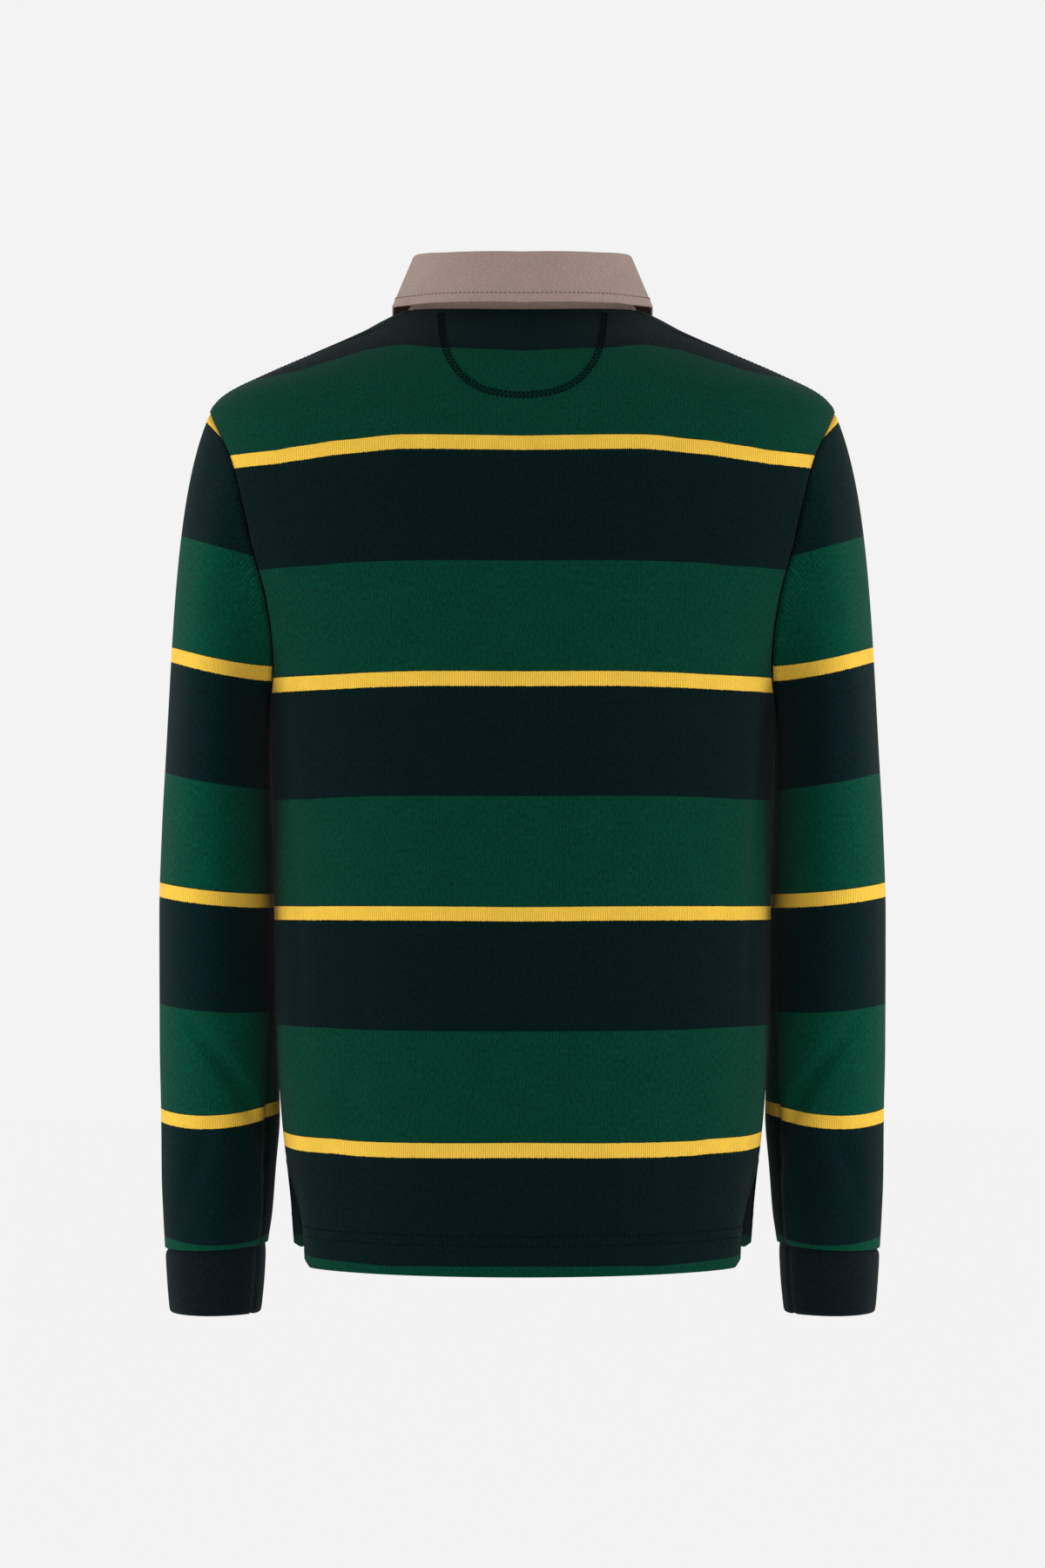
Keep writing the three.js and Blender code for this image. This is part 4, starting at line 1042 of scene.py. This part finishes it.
def hem_stitching(side):
    hem = BACK_HEM if side == "back" else FRONT_HEM
    sets = []
    for rise in HEM_ROWS:
        z = hem + rise
        edge = float(edge_angle(np.array(z), side))
        if side == "back":
            angle = np.linspace(-edge + 0.6, edge - 0.6, 500)
        else:
            angle = np.linspace(edge + 0.6, 360 - edge - 0.6, 500)
        sets.append(body_stitches(angle, z, "hem"))
    return stitch_mesh("hem_stitching_" + side, sets)


def collar_stitching(grid):
    """Topstitching inside the fall's edge, stopping short of its two ends."""
    normals = -grid_normals(grid, False)
    down = lengths(grid, 0)
    from_edge = down[-1:] - down
    inset = COLLAR_INSET
    across = lengths(grid, 1)

    def inset_line(values):
        return np.array([[np.interp(inset, from_edge[::-1, i], values[::-1, i, k]) for k in range(3)]
                         for i in range(grid.shape[1])])

    line = inset_line(grid)
    normal = unit(inset_line(normals))
    from_end = np.minimum(across[-1], across[-1, -1] - across[-1])
    keep = from_end > inset
    line = line[keep] + normal[keep] * TWILL / 2
    return stitch_mesh("collar_stitching", [stitches(line, normal[keep], *STITCHES["collar"])])


def placket(name, half_width, lift, thick):
    """A strip of twill down the front, standing a little off the body."""
    near = (0.01, 0.03, 0.06)
    rows = dense(ARMPIT_ROW + PLACKET_ROW + 0.02, NECK_ROW, PLACKET_LINES["up"], near, near)
    first = 1 / PANEL_HALF_COLUMNS
    offsets = dense(-half_width, half_width, PLACKET_LINES["across"], STRIP_NEAR_ENDS, STRIP_NEAR_ENDS)
    share = first * offsets / CUT_HALF_WIDTH
    angle, z = panel_grid("front", rows, share)
    outer = body_point(angle, z)
    normals = -grid_normals(outer, False)
    outer = outer + normals * (lift + thick)
    maps = {"cloth": (lengths(outer, 1), lengths(outer, 0))}
    return shell(name, outer, thick, maps, normals=normals)


def placket_stitching():
    half = PLACKET_ROWS["half"]
    z = np.linspace(PLACKET_ROWS["bottom"], PLACKET_ROWS["top"], 160)
    x = np.linspace(-half, half, 30)
    lines = [(np.full(len(z), side), z) for side in (-half, half)]
    lines += [(x, np.full(len(x), low)) for low in PLACKET_ROWS["across"]]
    sets = []
    for across, height in lines:
        line, normal = body_line(across, height, "front")
        sets.append(stitches(line + normal * (JERSEY + PLACKET_LIFT), normal, *STITCHES["placket"]))
    return stitch_mesh("placket_stitching", sets)


def button(number, height):
    """A four-hole button with a raised rim, and the thread that crosses it."""
    sides = BUTTON_SIDES
    turns = np.arange(sides) * 2 * np.pi / sides
    ring = np.array([[(r * np.cos(a), r * np.sin(a), h) for a in turns] for r, h in BUTTON_PROFILE])
    vertices = [(0, 0, 0), (0, 0, BUTTON_FACE)] + ring.reshape(-1, 3).tolist()
    faces = []
    for s in range(sides):
        after = (s + 1) % sides
        faces.append((0, 2 + after, 2 + s))
        for r in range(len(ring) - 1):
            low, high = 2 + r * sides, 2 + (r + 1) * sides
            faces.append((low + s, low + after, high + after, high + s))
        last = 2 + (len(ring) - 1) * sides
        faces.append((last + s, last + after, 1))
    mesh = bpy.data.meshes.new("button_%d_disc" % number)
    angle = 180.0
    normal = body_normal(np.array(angle), np.array(height))
    across = np.array((1.0, 0, 0))
    upward = np.cross(normal, across)
    place = body_point(np.array(angle), np.array(height)) + normal * (JERSEY + BUTTON_LIFT)
    local = np.array(vertices)
    world = place + local[:, :1] * across + local[:, 1:2] * upward + local[:, 2:] * normal
    mesh.from_pydata((world / 1000).tolist(), [], faces)
    mesh.polygons.foreach_set("use_smooth", np.ones(len(mesh.polygons), bool))
    mesh.set_sharp_from_angle(angle=math.radians(50))
    disc = linked("button_%d_disc" % number, mesh)
    drills = []
    for k in range(BUTTON_HOLES["count"]):
        turn = math.radians(45 + 90 * k)
        bpy.ops.mesh.primitive_cylinder_add(
            vertices=BUTTON_HOLES["sides"], radius=BUTTON_HOLES["radius"] / 1000,
            depth=BUTTON_HOLES["deep"] / 1000)
        drill = bpy.context.object
        at = place + BUTTON_HOLES["from_middle"] * (math.cos(turn) * across + math.sin(turn) * upward)
        drill.location = at / 1000
        drill.rotation_euler = Vector((0, 0, 1)).rotation_difference(Vector(normal)).to_euler()
        drills.append(drill)
    bpy.context.view_layer.update()
    for drill in drills:
        cut = disc.modifiers.new("hole", "BOOLEAN")
        cut.operation = "DIFFERENCE"
        cut.solver = "EXACT"
        cut.object = drill
    bpy.context.view_layer.update()
    evaluated = disc.evaluated_get(bpy.context.evaluated_depsgraph_get())
    holed = bpy.data.meshes.new_from_object(evaluated)
    disc.modifiers.clear()
    disc.data = holed
    for drill in drills:
        bpy.data.objects.remove(drill)
    threads = []
    half = BUTTON_THREAD["half"]
    for offset in (-half, half):
        line = place + np.linspace(-half, half, 4)[:, None] * across + offset * upward
        line = line + normal * BUTTON_THREAD["height"]
        threads.append(stitches(line, np.tile(normal, (4, 1)), BUTTON_THREAD["length"], 0.04,
                                BUTTON_THREAD["radius"], 0.1)[:1])
    return disc, threads


jersey = knit("striped_jersey")
# The sleeves wear the body's cloth with painted light: its green and dark made lighter, as on better-lit
# cloth
painted_lighter_sleeve_jersey = knit("striped_jersey_sleeve_painted_lighter", painted_light_gain=1.3)
rib = knit("cuff_knit", colour="rib", wale=0.0011, sheen=0.05)
# The collar's stand gets painted light, 1.5 times lighter, under the fall
collar_twill = twill("collar_twill", "twill", foot=1.5)
placket_twill = twill("placket_twill", "twill")
dark_thread = plain("dark_thread", "thread", 0.9, 0.02)
twill_thread = plain("twill_thread", "twill_thread", 0.9, 0.05)
button_plastic = plain("button_plastic", "button", 0.32, 0.5, 300, 0.00003)

back_cloth = dress(panel("back"), jersey, "jersey", "back_panel")
front_cloth = dress(panel("front"), jersey, "jersey", "front_panel")
sleeves = {side: dress(sleeve(side), painted_lighter_sleeve_jersey, "jersey", "sleeve_" + side)
           for side in ("left", "right")}
cuffs = {side: dress(cuff(side), rib, "cuff_rib", "cuff_" + side) for side in ("left", "right")}
collar_piece, collar_middle = collar()
dress(collar_piece, collar_twill, "twill", "collar")
upper = placket("placket_upper_cloth", PLACKET_HALF_WIDTH, PLACKET_LIFT, JERSEY)
under = placket("placket_under_cloth", CUT_HALF_WIDTH - 0.6, -JERSEY, JERSEY)
dress(upper, placket_twill, "twill", "placket_upper")
dress(under, placket_twill, "twill", "placket_under")
moon = dress(half_moon(), dark_thread, "jersey")
back_hem = dress(hem_stitching("back"), dark_thread, "jersey")
shoulder_rows = dress(shoulder_stitching(), dark_thread, "jersey")
front_hem = dress(hem_stitching("front"), dark_thread, "jersey")
collar_rows = dress(collar_stitching(collar_middle), twill_thread, "twill")
placket_rows = dress(placket_stitching(), twill_thread, "twill")
button_threads = []
for number, height in enumerate(BUTTON_HEIGHTS, start=1):
    disc, threads = button(number, height)
    dress(disc, button_plastic, "button", "button_%d" % number)
    button_threads += threads
dress(stitch_mesh("button_threads", button_threads), twill_thread, "button")

# Studio: a pale floor and surround, soft lights, and the camera at the photo's viewpoint
floor_mesh = bpy.data.meshes.new("floor")
floor_corners = ((-1, -1), (1, -1), (1, 1), (-1, 1))
floor_mesh.from_pydata([(x * FLOOR["reach"], y * FLOOR["reach"], FLOOR["height"]) for x, y in floor_corners],
                       [], [(0, 1, 2, 3)])
floor = linked("floor", floor_mesh)
pale = bpy.data.materials.new("pale_floor")
pale_tree, pale_shader = nodes_of(pale)
finish_with(pale_shader, {
    "Base Color": (FLOOR["grey"], FLOOR["grey"], FLOOR["grey"], 1), "Roughness": 1.0,
    "Specular IOR Level": 0.0, "Emission Color": (1, 1, 1, 1), "Emission Strength": FLOOR["glow"]})
floor.data.materials.append(pale)

world = bpy.data.worlds.new("studio")
bpy.context.scene.world = world
world.use_nodes = True
world.node_tree.nodes["Background"].inputs[0].default_value = (1, 1, 1, 1)
world.node_tree.nodes["Background"].inputs[1].default_value = WORLD_STRENGTH


def area_light(name, place, target, size, power):
    data = bpy.data.lights.new(name, "AREA")
    data.shape = "RECTANGLE"
    data.size, data.size_y = size
    data.energy = power
    light = linked(name, data)
    light.location = place
    toward = Vector(target) - Vector(place)
    light.rotation_euler = toward.to_track_quat("-Z", "Y").to_euler()


for hand in (-1, 1):
    for name, place, target, size, power in PAIRED_LIGHTS:
        area_light(name, (hand * place[0], *place[1:]), (hand * target[0], *target[1:]), size, power)
area_light(*TOP_LIGHT)

camera_data = bpy.data.cameras.new("camera")
camera_data.sensor_fit = "VERTICAL"
camera_data.sensor_height = CAMERA["sensor"]
camera_data.lens = CAMERA["lens"]
camera = linked("camera", camera_data)
camera.location = CAMERA["place"]
camera.rotation_euler = (math.radians(90 + CAMERA["tilt"]), 0, 0)
bpy.context.scene.camera = camera
bpy.context.scene.view_settings.view_transform = "Standard"
